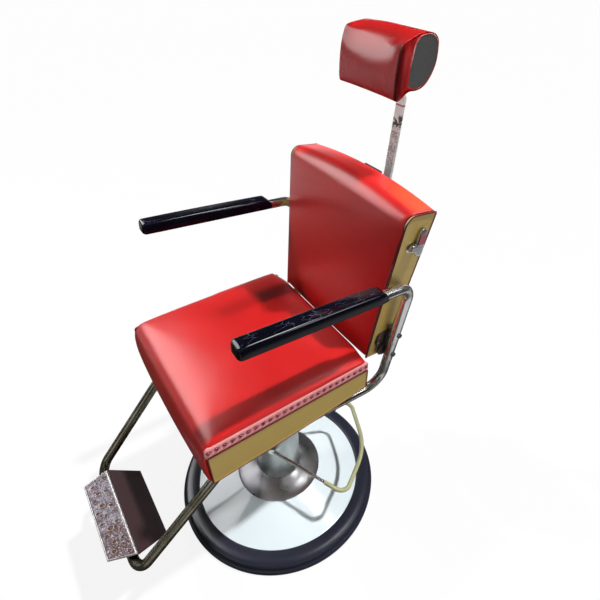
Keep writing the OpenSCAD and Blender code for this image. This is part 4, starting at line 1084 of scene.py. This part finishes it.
def sleeve_ring(bm, x, front_share, other_share, give=0.0):
    """A ring at x; the shares are 0 on the plate's outline and 1 on the sleeve's."""
    points = []
    for k, angle in enumerate(HEAD_ANGLES):
        share = front_share * faces_front[k] + other_share * (1 - faces_front[k])
        full = (left_reach[k] if x > 0 else right_reach[k]) * (1 - give) + soft_reach[k] * give
        reach = plate_reach[k] + (full - plate_reach[k]) * share
        up = (HEAD_MID[1] + reach * math.sin(angle)) / 1000
        up -= RIGHT_DROOP * smoothstep(-0.03, -0.096, x) * smoothstep(0.055, 0.075, up)
        points.append((x, (HEAD_MID[0] + reach * math.cos(angle)) / 1000, up))
    return ring_of(bm, points)


def body_ring(bm, x):
    """A ring between the plates, softer the nearer it is to the middle."""
    out = abs(x) / SLEEVE_EDGE
    share = 0.995 - 0.012 * (1 - out ** 4)
    return sleeve_ring(bm, x, share, share, give=1 - out ** 3)


def headrest_sleeve():
    """The sleeve from its right end to its left, with both plates' faces closed."""
    bm = bmesh.new()
    right_end = [sleeve_ring(bm, -x, front, other) for x, front, other in WRAPPED_END]
    body = [body_ring(bm, x) for x in [-x for x in SLEEVE_AT] + SLEEVE_AT[-2::-1]]
    left_end = [sleeve_ring(bm, x, front, other) for x, front, other in reversed(WRAPPED_END)]
    print("the sleeve has", len(right_end + body + left_end), "rings of", HEAD_RAYS, "points")
    return skin_over(bm, right_end + body + left_end)


# %% Upholster the headrest
def head_free(co):
    """The front may swell between the folds."""
    return smoothstep(0.090, 0.070, abs(co.x)) * smoothstep(0.010, -0.035, co.y)


head = add_object("headrest_upholstery", headrest_sleeve(), finishes["vinyl_head"])
cloth_pass(head, 3.0, 0.004, head_free)
soften(head, rounds=1)
head.data.transform(Matrix.Translation(HEAD_PIVOT))
finish_piece(head, "headrest", ("headrest_cushion",))

# %% [markdown]
# ## Nail strips
# A band of pink vinyl runs along each side of the seat and hides the cover's nailed edge. Its
# light colour is partly its own and partly a painted sheen. It is a shallow cushion itself, pulled
# into a dimple round every nail. A grid is the natural start: each of its points gets its height
# from two simple rules, round at the band's edges and sunk in a ring round the nearest nail. The
# grid's border is then extruded back to the seat.

# %% Places along the strip
PANEL_TOP = 0.672
STRIP_TOP = 0.703
STRIP_BASE = 0.2208
STRIP_BACK = 0.2183
STRIP_EDGE = 0.0008
STRIP_PUFF = 0.0034
STRIP_ROUND = 0.010
STRIP_STEP = 0.0015
STRIP_ROWS = 20
END_DIP = 0.012
NAILS = 24
NAIL_MARGIN = 0.008
NAIL_Z = (PANEL_TOP + STRIP_TOP) / 2
NAIL_STEP = (SEAT_REAR - SEAT_FRONT - 2 * NAIL_MARGIN) / (NAILS - 1)
NAIL_AT = [SEAT_FRONT + NAIL_MARGIN + i * NAIL_STEP for i in range(NAILS)]
print(NAILS, "nails on each side,", round(1000 * NAIL_STEP, 1), "mm apart")


# %% The strip's outline and height
def strip_top(y):
    """The strip's top edge, which dips at both ends."""
    end = min(y - SEAT_FRONT + STRIP_EDGE, SEAT_REAR + STRIP_EDGE - y)
    near_end = 1 - min(1.0, max(0.0, end) / END_DIP)
    return STRIP_TOP - STRIP_EDGE - END_DIP * (1 - math.sqrt(1 - near_end ** 2))


def strip_height(y, z):
    """How far the strip stands out from the seat's side."""
    edge = min(z - (PANEL_TOP - STRIP_EDGE), strip_top(y) - z, y - (SEAT_FRONT - STRIP_EDGE),
               SEAT_REAR + STRIP_EDGE - y)
    puffed = STRIP_PUFF * crown(1 - min(1.0, max(0.0, edge) / STRIP_ROUND), 2, 0.5)
    nearest = min(math.hypot(y - nail, z - NAIL_Z) for nail in NAIL_AT)
    return puffed - 0.0030 * math.exp(-((nearest - 0.0056) / 0.0016) ** 2)


def nail_strip(side):
    """The strip on one side of the seat, 1 for the left and -1 for the right."""
    cells = int((SEAT_REAR - SEAT_FRONT + 2 * STRIP_EDGE) / STRIP_STEP)
    low = PANEL_TOP - STRIP_EDGE
    bm = bmesh.new()
    bmesh.ops.create_grid(bm, x_segments=cells, y_segments=STRIP_ROWS, size=0.5)
    for v in bm.verts:
        y = SEAT_FRONT - STRIP_EDGE + STRIP_STEP * cells * (v.co.x + 0.5)
        z = low + (strip_top(y) - low) * (v.co.y + 0.5)
        v.co = (side * (STRIP_BASE + strip_height(y, z)), y, z)
    border = [edge for edge in bm.edges if edge.is_boundary]
    made = bmesh.ops.extrude_edge_only(bm, edges=border)
    for v in made["geom"]:
        if isinstance(v, bmesh.types.BMVert):
            v.co.x = side * STRIP_BACK
    bmesh.ops.recalc_face_normals(bm, faces=bm.faces)
    return bm


SIDES = ((1, "left"), (-1, "right"))
for side, word in SIDES:
    strip = add_object("nail_strip_cover_" + word, nail_strip(side), finishes["strip_red"])
    finish_piece(strip, "seat", ("nail_strip_" + word,))

# %% [markdown]
# ## Nail heads
# Upholstery nails have thin domed heads. There are dozens of them, so each gets only a few
# faces. Half of a head's outline is spun round the nail's own axis once, and the result is
# duplicated and moved along the strip, then duplicated and mirrored to the other side.

# %% Spin one head and repeat it
HEAD_STEPS = 20
HEAD_BASE = STRIP_BASE + 0.0016
HEAD_DOME = [(0.0042, 0.0), (0.0040, 0.0016), (0.0031, 0.0032), (0.0017, 0.0044), (0.0, 0.0049),
             (-0.0018, 0.0049)]


def copied_verts(bm, geom):
    """Duplicates the geometry in place and gives the new vertices, ready to be moved."""
    made = bmesh.ops.duplicate(bm, geom=geom)["geom"]
    return [item for item in made if isinstance(item, bmesh.types.BMVert)]


def nail_heads():
    """Domed nail heads along both strips."""
    bm = bmesh.new()
    dome = [bm.verts.new((HEAD_BASE + out, NAIL_AT[0] + away, NAIL_Z)) for out, away in HEAD_DOME]
    lines = [bm.edges.new(pair) for pair in zip(dome, dome[1:])]
    bmesh.ops.spin(bm, geom=dome + lines, cent=(0, NAIL_AT[0], NAIL_Z), axis=(1, 0, 0),
                   angle=2 * math.pi, steps=HEAD_STEPS, use_merge=True)
    bmesh.ops.remove_doubles(bm, verts=bm.verts, dist=1e-6)
    bmesh.ops.edgeloop_fill(bm, edges=[edge for edge in bm.edges if edge.is_boundary])
    first = bm.verts[:] + bm.edges[:] + bm.faces[:]
    for number in range(1, NAILS):
        bmesh.ops.translate(bm, vec=(0, number * NAIL_STEP, 0), verts=copied_verts(bm, first))
    row = bm.verts[:] + bm.edges[:] + bm.faces[:]
    bmesh.ops.scale(bm, vec=(-1, 1, 1), verts=copied_verts(bm, row))
    bmesh.ops.recalc_face_normals(bm, faces=bm.faces)
    return bm


heads = add_object("upholstery_nail_heads", nail_heads(), finishes["nail_metal"])
finish_piece(heads, "seat", ("upholstery_nails",))

# %% [markdown]
# ## Piping
# The tan side panels are edged with a dark red cord and a thin cream bead, and a red cord follows
# the front edge of the back's sides. A curve with a round bevel would do for a free cord. These
# lie in a corner and must keep their width round sharp turns, so a circle is set square across
# the path at every point and the circles are bridged.

# %% A bar along a path
PIPING_SIDES = 8


def directions(points, closed):
    """The path's direction at each of its points."""
    last = len(points) - 1
    for i in range(len(points)):
        if closed:
            ahead = points[(i + 1) % len(points)] - points[i - 1]
        else:
            ahead = points[min(i + 1, last)] - points[max(i - 1, 0)]
        yield ahead.normalized()


def bar_along(points, radius, closed=False):
    """A round bar along the points, which lie in a plane of one x or close to it."""
    bm = bmesh.new()
    rings = []
    side = None
    for place, ahead in zip(points, directions(points, closed)):
        side = ahead.cross(Vector((1, 0, 0))) if side is None else side
        side = (side - ahead * side.dot(ahead)).normalized()
        square = Matrix((side, ahead.cross(side), ahead)).transposed().to_4x4()
        made = bmesh.ops.create_circle(bm, segments=PIPING_SIDES, radius=radius,
                                       matrix=Matrix.Translation(place) @ square)
        rings.append(list({edge for vert in made["verts"] for edge in vert.link_edges}))
    return skin_over(bm, rings, closed)


# %% The side panels' outline
PANEL_LOW = [(-0.270, 0.5755), (-0.112, 0.582), (0.044, 0.5935), (0.110, 0.6015), (0.159, 0.611)]
PANEL_OUTLINE = PANEL_LOW + [(0.159, PANEL_TOP), (-0.270, PANEL_TOP)]
STEPS_A_SIDE = 24


def moved_in(outline, inset):
    """The closed outline's corners moved inwards, with its sides kept parallel."""
    n = len(outline)
    corners = []
    for i in range(n):
        before, here, after = (Vector(outline[j % n]) for j in (i - 1, i, i + 1))
        a, b = (here - before).normalized(), (after - here).normalized()
        across_a, across_b = Vector((-a.y, a.x)), Vector((-b.y, b.x))
        middle = (across_a + across_b).normalized()
        corners.append(here + middle * (inset / max(0.4, middle.dot(across_a))))
    return corners


def panel_path(x, inset):
    """The path of a cord round a side panel, in even steps from corner to corner."""
    corners = moved_in(PANEL_OUTLINE, inset)
    path = []
    for here, after in zip(corners, corners[1:] + corners[:1]):
        path += [Vector((x, *(here + (after - here) * k / STEPS_A_SIDE))) for k in range(STEPS_A_SIDE)]
    return path


print("a cord round a side panel passes", len(panel_path(0, 0)), "points")


# %% Pipe the seat
CORDS = (("seat_piping_", 0.0004, 0.0015, 0.2240, "piping_red", "strip_red"),
         ("seat_bead_", 0.0026, 0.0009, 0.2238, "piping_cream", "vinyl_tan"))

for side, word in SIDES:
    for name, inset, radius, x, finish, slot in CORDS:
        cord = add_object(name + word, bar_along(panel_path(side * x, inset), radius, closed=True),
                          finishes[finish])
        finish_piece(cord, "seat")

# %% Pipe the back
BACK_CORD = 0.0016
CORD_ROLL = 0.024
FRONT_EDGE = [(0.0005, 0.004 + 0.38 * k / 30) for k in range(31)]
ROLLED_EDGE = corner_arc(0.0245, 0.391, CORD_ROLL, 171, 90, 9)
TOP_EDGE = [(0.0245 + (0.082 - 0.0245) * k / 12, 0.415) for k in range(1, 13)]

for side, word in SIDES:
    upright_path = FRONT_EDGE + ROLLED_EDGE + TOP_EDGE
    path = [LEANED @ Vector((side * (back_half(z) + 0.0006), y, z)) for y, z in upright_path]
    cord = add_object("back_piping_" + word, bar_along(path, BACK_CORD), finishes["piping_red"])
    finish_piece(cord, "back")

# %% [markdown]
# ## The bumper ring
# A moulded rubber ring keeps shoes and brooms off the enamelled dome. It is the same all the way
# round, so its cross section is drawn once as a closed outline of radius and height, with a
# groove on its outer side and a thin lip that lies on the dome, and a full spin sweeps it round.
# Merging joins the last step to the first.

# %% Spin the bumper
RING_STEPS = 192
RING_FOOT = [(0.2782, 0.0004), (0.3268, 0.0004), (0.3290, 0.0014), (0.3300, 0.0036), (0.3300, 0.0135)]
RING_GROOVE = [(0.3292, 0.0165), (0.3268, 0.0190), (0.3215, 0.0208), (0.3202, 0.0222), (0.3212, 0.0240)]
RING_CROWN = spline([(0.3235, 0.0275), (0.3230, 0.0325), (0.3200, 0.0390), (0.3145, 0.0436),
                     (0.3060, 0.0462), (0.2960, 0.0470), (0.2860, 0.0464), (0.2790, 0.0454)], 4)
RING_LIP = [(0.2768, 0.0436), (0.2752, 0.0444), (0.2736, 0.0438), (0.2732, 0.0428), (0.2822, 0.0408)]
RING_INSIDE = [(0.2854, 0.0370), (0.2854, 0.0060), (0.2782, 0.0060)]

bm = bmesh.new()
outline = RING_FOOT + RING_GROOVE + RING_CROWN + RING_LIP + RING_INSIDE
section = ring_of(bm, [(radius, 0, z) for radius, z in outline])
bmesh.ops.spin(bm, geom=bm.verts[:] + section, cent=(0, 0, 0), axis=(0, 0, 1), angle=2 * math.pi,
               steps=RING_STEPS, use_merge=True)
bmesh.ops.recalc_face_normals(bm, faces=bm.faces)
ring = add_object("bumper", bm, finishes["bumper_rubber"])
finish_piece(ring, "base", ("base_ring",))

# %% [markdown]
# ## The arm pads
# Each arm carries a long glossy pad, round along its upper edges, rounded at its front and cut
# away in a falling curve at its rear. A box with bevelled edges comes close but can't fall away
# like that. The cross section is a rectangle with four round corners, and it is drawn again at
# each place along the pad, a little smaller towards the front and lower towards the rear.

# %% Sizes of an arm pad
PAD_PLACE = Vector((0.245, -0.150, 0.951))
PAD_TURN = math.atan2(0.921 - 0.951, 0.244 + 0.150)
PAD_FRONT = -0.036
PAD_REAR = 0.310
PAD_HALF = 0.0192
PAD_UNDER = -0.0045
PAD_TOP = 0.0250
PAD_NOSE = 0.009
PAD_TAIL = 0.018
PAD_DROP = 0.0125
PAD_BOW = 0.0012
CORNER_POINTS = 7


def pad_section(half, low, top, r_top, r_low):
    """The rounded rectangle across the pad, clockwise from its lower left, as (x, z)."""
    points = []
    for x, z, r, start in ((r_low - half, low + r_low, r_low, 270),
                           (r_top - half, top - r_top, r_top, 180),
                           (half - r_top, top - r_top, r_top, 90),
                           (half - r_low, low + r_low, r_low, 0)):
        points += corner_arc(x, z, r, start, start - 90, CORNER_POINTS - 1)
    return points


def pad_stations():
    """Places along the pad: how far along, how much smaller and how much lower."""
    for angle in (math.radians(15 * k) for k in range(7)):
        yield PAD_FRONT + PAD_NOSE * (1 - math.cos(angle)), PAD_NOSE * (1 - math.sin(angle)), 0.0
    straight = PAD_REAR - PAD_TAIL - PAD_FRONT - PAD_NOSE
    for k in range(1, 25):
        yield PAD_FRONT + PAD_NOSE + straight * k / 24, 0.0, 0.0
    for t in (k / 8 for k in range(1, 9)):
        yield PAD_REAR - PAD_TAIL + PAD_TAIL * t, 0.0015 * t, PAD_DROP * t ** 1.7


print("an arm pad is", round(1000 * (PAD_REAR - PAD_FRONT)), "mm long")


# %% Skin the arm pads
def arm_pad(side):
    """The pad of one arm, 1 for the left and -1 for the right."""
    bm = bmesh.new()
    rings = []
    for y, inset, drop in pad_stations():
        bow = PAD_BOW * (1 - ((y - 0.137) / 0.173) ** 2)
        top = PAD_TOP - inset - drop + bow - PAD_BOW
        upper_round = max(0.002, 0.0085 - 0.5 * inset)
        section = pad_section(PAD_HALF - inset, PAD_UNDER + 0.3 * inset, top, upper_round, 0.003)
        rings.append(ring_of(bm, [(x, y, z) for x, z in section]))
    bmesh.ops.transform(bm, verts=bm.verts,
                        matrix=Matrix.Translation(PAD_PLACE) @ Matrix.Rotation(PAD_TURN, 4, "X"))
    bmesh.ops.scale(bm, vec=(side, 1, 1), verts=bm.verts)
    return skin_over(bm, rings)


for side, word in SIDES:
    pad = add_object("arm_pad_" + word + "_gloss", arm_pad(side), finishes["arm_gloss"])
    finish_piece(pad, "seat", ("arm_pad_" + word,))

# %% [markdown]
# ## The footrest's tread
# The front of the foot pad is a cast plate with a raised rim and craters of several sizes, each
# with a raised lip, so that wet soles don't slip. Cutting seventeen holes with booleans gives
# sharp edges and a messy mesh, while casting leaves everything soft. A fine grid whose points
# are raised and sunk gives that softness, and the same sums fill the wear attribute that the
# cast material reads.

# %% Sizes of the tread
FOOT_PLACE = (0, -0.484, 0.290)
FOOT_FRONT = Vector((0, -0.049, 0.034))
FOOT_RIDGE = Vector((0, 0.016, 0.026))
TREAD_LENGTH = (FOOT_RIDGE - FOOT_FRONT).length
TREAD_ALONG = (FOOT_RIDGE - FOOT_FRONT) / TREAD_LENGTH
TREAD_OUT = Vector((0, -TREAD_ALONG.z, TREAD_ALONG.y))
TREAD_HALF_FRONT = 0.115
TREAD_HALF_RIDGE = 0.137
TREAD_COLUMNS = 190
TREAD_ROWS = 46
TREAD_BACK = 0.0024
TREAD_CREASE = math.radians(62)
CRATERS = [(-115.7, 0.76, 4.5), (-98.8, 0.3, 6.2), (-74.9, 0.4, 6.2), (-72.6, 0.69, 4.5),
           (-54.5, 0.18, 4.5), (-35.4, 0.42, 8.0), (-24.2, 0.7, 6.2), (-16.7, 0.18, 6.2),
           (-0.2, 0.42, 4.5), (18, 0.18, 5.2), (26.3, 0.71, 6.2), (37.1, 0.43, 8.4), (56.7, 0.2, 4.5),
           (76.4, 0.72, 6.2), (77.4, 0.41, 6.2), (101.2, 0.3, 6.6), (118.6, 0.78, 6.2)]
print(len(CRATERS), "craters, each as (across in mm, share of the length, radius in mm)")


# %% Height and wear of the cast surface
def crater_marks(u, v):
    """How much a point belongs to a crater's lip and to its hole."""
    hole = lip = 0.0
    for across, share, r in CRATERS:
        away = math.hypot(u - across / 1000, v - share * TREAD_LENGTH) * 1000
        lip = max(lip, math.exp(-((away - 0.88 * r) / (0.26 * r)) ** 2))
        hole = max(hole, smoothstep(0.78 * r, 0.5 * r, away))
    return lip, hole


def rim_height(edge):
    """The raised rim, by the distance from the plate's edge."""
    rim = 0.0016 * smoothstep(0.0042, 0.0030, edge) * smoothstep(-0.0002, 0.0012, edge)
    return rim - 0.0008 * smoothstep(0.0010, 0.0, edge)


def tread():
    """The cast plate, with its wear attribute."""
    bm = bmesh.new()
    wear = bm.verts.layers.float_color.new("wear")
    bmesh.ops.create_grid(bm, x_segments=TREAD_COLUMNS, y_segments=TREAD_ROWS, size=0.5)
    for vert in bm.verts:
        share = vert.co.y + 0.5
        v = TREAD_LENGTH * share
        half = TREAD_HALF_FRONT + (TREAD_HALF_RIDGE - TREAD_HALF_FRONT) * share
        u = 2 * half * vert.co.x
        edge = min(v * 0.95, (TREAD_LENGTH - v) * 0.6, (half - abs(u)) * 0.9)
        lip, hole = crater_marks(u, v)
        height = rim_height(edge) + 0.0019 * lip - 0.0016 * hole
        vert.co = Vector((u, 0, 0)) + FOOT_FRONT + v * TREAD_ALONG + height * TREAD_OUT
        vert[wear] = (lip, hole, smoothstep(0.0040, 0.0022, edge), 1)
    print("the tread's grid has", len(bm.verts), "points")
    return bm


# %% Give the plate its thickness
bm = tread()
made = bmesh.ops.extrude_edge_only(bm, edges=[edge for edge in bm.edges if edge.is_boundary])
for vert in made["geom"]:
    if isinstance(vert, bmesh.types.BMVert):
        vert.co -= ((vert.co - FOOT_FRONT).dot(TREAD_OUT) + TREAD_BACK) * TREAD_OUT
bmesh.ops.recalc_face_normals(bm, faces=bm.faces)
bmesh.ops.translate(bm, vec=FOOT_PLACE, verts=bm.verts)
plate = add_object("footrest_tread_cast", bm, finishes["tread_cast"])
plate.data.set_sharp_from_angle(angle=TREAD_CREASE)
finish_piece(plate, "footrest", ("footrest_tread",))

# %% [markdown]
# ## The floor
# The chair stands in a white studio. Lighting the floor until it is white would also wash out
# the chair, so the floor only looks white to the camera: Light Path tells camera rays from the
# others, and for them most of the surface is plain emission. What is left of its real shading
# keeps a faint shadow. Chrome mirrors the floor in other tones, dark round the chair, with a pale
# band to the sitter's left and a pale stretch far to the right, and light that bounces off the
# floor meets a dark grey.

# %% Floor
scene = bpy.context.scene
scene.view_settings.view_transform = "Standard"
SEEN_WHITE = 0.87
BOUNCED = grey(0.22)


def mirrored_floor(tree):
    """The floor as chrome shows it, by the place along X."""
    across = axes(tree, object_coords(tree))["X"]
    stops = [(0.0, (0.04, 0.038, 0.028)), (0.2, grey(0.08)), (0.34, grey(0.62)), (0.7, grey(0.62)),
             (0.9, grey(0.05))]
    near = ramp(tree, map_range(tree, across, 0.5, 1.4), stops)
    return mix_colour(tree, map_range(tree, across, -1.8, -3.2), near, grey(0.85))


floor_mat, tree, bsdf = new_material("floor")
bsdf.inputs["Roughness"].default_value = 0.9
bsdf.inputs["Specular IOR Level"].default_value = 0.1
rays = tree.nodes.new("ShaderNodeLightPath").outputs
bounce = mix_colour(tree, rays["Is Glossy Ray"], BOUNCED, mirrored_floor(tree))
tree.links.new(mix_colour(tree, rays["Is Camera Ray"], bounce, grey(0.86)), bsdf.inputs["Base Color"])
white = tree.nodes.new("ShaderNodeEmission")
white.inputs["Color"].default_value = (1, 1, 1, 1)
blend = tree.nodes.new("ShaderNodeMixShader")
tree.links.new(math_node(tree, "MULTIPLY", rays["Is Camera Ray"], SEEN_WHITE), blend.inputs["Fac"])
tree.links.new(bsdf.outputs["BSDF"], blend.inputs[1])
tree.links.new(white.outputs["Emission"], blend.inputs[2])
tree.links.new(blend.outputs["Shader"], tree.nodes["Material Output"].inputs["Surface"])

bm = bmesh.new()
bmesh.ops.create_grid(bm, x_segments=1, y_segments=1, size=40.0)
floor = add_object("floor", bm, floor_mat, smooth=False)
floor.location.z = -0.0005
print("laid the floor")

# %% [markdown]
# ## The room
# The world plays three parts. The camera sees it white. As light it is dim and comes mostly from
# low down, so that shadows under the seat stay soft and deep. In mirrors it is a dark room with
# a few pale patches, since chrome without anything to mirror looks like grey paint. A wide dark
# spot lies high up behind the sitter's right, where the level surfaces mirror it, so that they
# keep their own colour.

# %% World
world = bpy.data.worlds.new("studio")
scene.world = world
world.use_nodes = True
room = world.node_tree
room.nodes.clear()
DARK_SPOT = (-0.517, 0.500, 0.695)


def background(colour):
    """A background of one colour, or of another node's colour."""
    node = room.nodes.new("ShaderNodeBackground")
    if isinstance(colour, tuple):
        node.inputs["Color"].default_value = (*colour, 1)
    else:
        room.links.new(colour, node.inputs["Color"])
    return node.outputs["Background"]


def choose(when, otherwise, then):
    """The one background for the rays that when picks out, and the other for the rest."""
    node = room.nodes.new("ShaderNodeMixShader")
    for socket, value in zip(node.inputs, (when, otherwise, then)):
        room.links.new(value, socket)
    return node.outputs["Shader"]


way = room.nodes.new("ShaderNodeTexCoord").outputs["Generated"]
fill = ramp(room, axes(room, way)["Z"], [(0.0, grey(0.06)), (0.3, grey(0.03)), (0.9, grey(0.02))])
patches = ramp(room, tex_noise(room, way, 3.0, 1.0),
               [(0.46, grey(0.015)), (0.55, grey(0.09)), (0.64, grey(0.5)), (0.72, grey(1.2))])
towards = room.nodes.new("ShaderNodeVectorMath")
towards.operation = "DOT_PRODUCT"
towards.inputs[1].default_value = DARK_SPOT
room.links.new(way, towards.inputs[0])
spot = map_range(room, towards.outputs["Value"], 0.84, 0.94, 0.0, 0.92)
mirrored = mix_colour(room, spot, patches, (0.03, 0.03, 0.032))
rays = room.nodes.new("ShaderNodeLightPath").outputs
lit = choose(rays["Is Glossy Ray"], background(fill), background(mirrored))
seen = choose(rays["Is Camera Ray"], lit, background((1.0, 1.0, 1.0)))
room.links.new(seen, room.nodes.new("ShaderNodeOutputWorld").inputs["Surface"])
print("the room has", len(room.nodes), "nodes")

# %% [markdown]
# ## The lamps
# A high hard sun behind the sitter's left gives the shadow of the arm across the seat, and a
# weaker one in front on the right opens the shaded side. Low area lamps lift the front and the
# left. Mirrored in glossy vinyl, each would show as a hard white shape, so these lamps are hidden
# from glossy rays. The highlights come from lamps of their own, which light nothing else: broad
# soft windows whose reflections lie along the seat, the back and the tubes.

# %% Making lamps
def aimed(name, data, azimuth, elevation, target=(0, 0, 0), distance=0.0):
    """Hangs a lamp in a direction from its target, facing it; angles in degrees, 0 along +X."""
    obj = bpy.data.objects.new(name, data)
    a, e = math.radians(azimuth), math.radians(elevation)
    to_lamp = Vector((math.cos(a) * math.cos(e), math.sin(a) * math.cos(e), math.sin(e)))
    obj.location = Vector(target) + distance * to_lamp
    obj.rotation_euler = to_lamp.to_track_quat("Z", "Y").to_euler()
    scene.collection.objects.link(obj)
    print("lamp", name, "at azimuth", azimuth, "and elevation", elevation)
    return obj


def sun(name, azimuth, elevation, strength, angle):
    """A sun; angle is how wide it looks, which softens its shadows."""
    data = bpy.data.lights.new(name, "SUN")
    data.energy = strength
    data.angle = math.radians(angle)
    return aimed(name, data, azimuth, elevation)


def softbox(name, azimuth, elevation, distance, size, watts, target=(0, 0, 0.8), spread=180):
    """A rectangular lamp; a small spread keeps its light in a narrow beam."""
    data = bpy.data.lights.new(name, "AREA")
    data.shape = "RECTANGLE"
    data.size, data.size_y = size
    data.energy = watts
    data.spread = math.radians(spread)
    return aimed(name, data, azimuth, elevation, target, distance)


# %% Lamps that light
lighting = [
    sun("key", 60, 65, 3.12, 2.5),
    sun("window", 220, 53, 0.55, 2.5),
    softbox("low_window", 226, 4, 3.2, (2.2, 1.4), 12),
    softbox("aisle", 10, 3, 3.4, (2.2, 1.6), 36),
    softbox("window_pane", 220, 53, 3.0, (0.16, 0.16), 0.34, target=(-0.17, 0.14, 0.86), spread=18),
    softbox("rear", 95, 38, 1.1, (0.7, 0.4), 2.3, target=(0, 0.35, 1.33), spread=50),
]
for lamp in lighting:
    lamp.visible_glossy = False
print(len(lighting), "lamps light the chair")

# %% Lamps that are only mirrored
WARM = (1.0, 0.22, 0.01)
warm_wall = softbox("warm_wall", 119, 24, 0.95, (0.42, 0.34), 0.21, target=(0.15, 0.33, 1.12), spread=50)
warm_wall.data.color = WARM
sheens = [
    softbox("window_sheen", 216, 39, 3.1, (2.5, 2.4), 108),
    warm_wall,
    softbox("key_sheen", 61, 64, 3.0, (0.7, 0.7), 22),
    softbox("rim_sheen", 40, 38, 3.2, (0.9, 0.6), 12),
]
for lamp in sheens:
    lamp.visible_diffuse = False
    lamp.visible_camera = False
print(len(sheens), "lamps are only mirrored")

# %% [markdown]
# ## The camera
# The camera stands high, in front and to the sitter's left, and is rolled by a few degrees. Its
# lens is worked out from the focal length in pixels of a 600-pixel picture, and the shifts move
# the picture's middle off the lens axis. Instead of three angles, its matrix is built from the
# directions in which it looks back, right and up.

# %% Camera
PICTURE = 600
FOCAL_PIXELS = 444.95
LENS_AXIS = (343.46, 300.13)
CAMERA_PLACE = (0.76692, -0.37347, 1.52411)
azimuth, elevation, roll = math.radians(50.98), math.radians(39.63), math.radians(3.33)

camera_data = bpy.data.cameras.new("camera")
camera_data.sensor_width = 36
camera_data.lens = camera_data.sensor_width * FOCAL_PIXELS / PICTURE
camera_data.shift_x = (PICTURE / 2 - LENS_AXIS[0]) / PICTURE
camera_data.shift_y = (LENS_AXIS[1] - PICTURE / 2) / PICTURE
camera_data.clip_end = 100

toward = Vector((math.sin(azimuth) * math.cos(elevation), -math.cos(azimuth) * math.cos(elevation),
                 math.sin(elevation)))
level = Vector((0, 0, 1)).cross(toward).normalized()
upright = toward.cross(level)
right = math.cos(roll) * level + math.sin(roll) * upright
up = -math.sin(roll) * level + math.cos(roll) * upright
camera = bpy.data.objects.new("camera", camera_data)
turned = Matrix((right, up, toward)).transposed().to_4x4()
camera.matrix_world = Matrix.Translation(CAMERA_PLACE) @ turned
scene.collection.objects.link(camera)
scene.camera = camera
print("lens", round(camera_data.lens, 2), "mm")
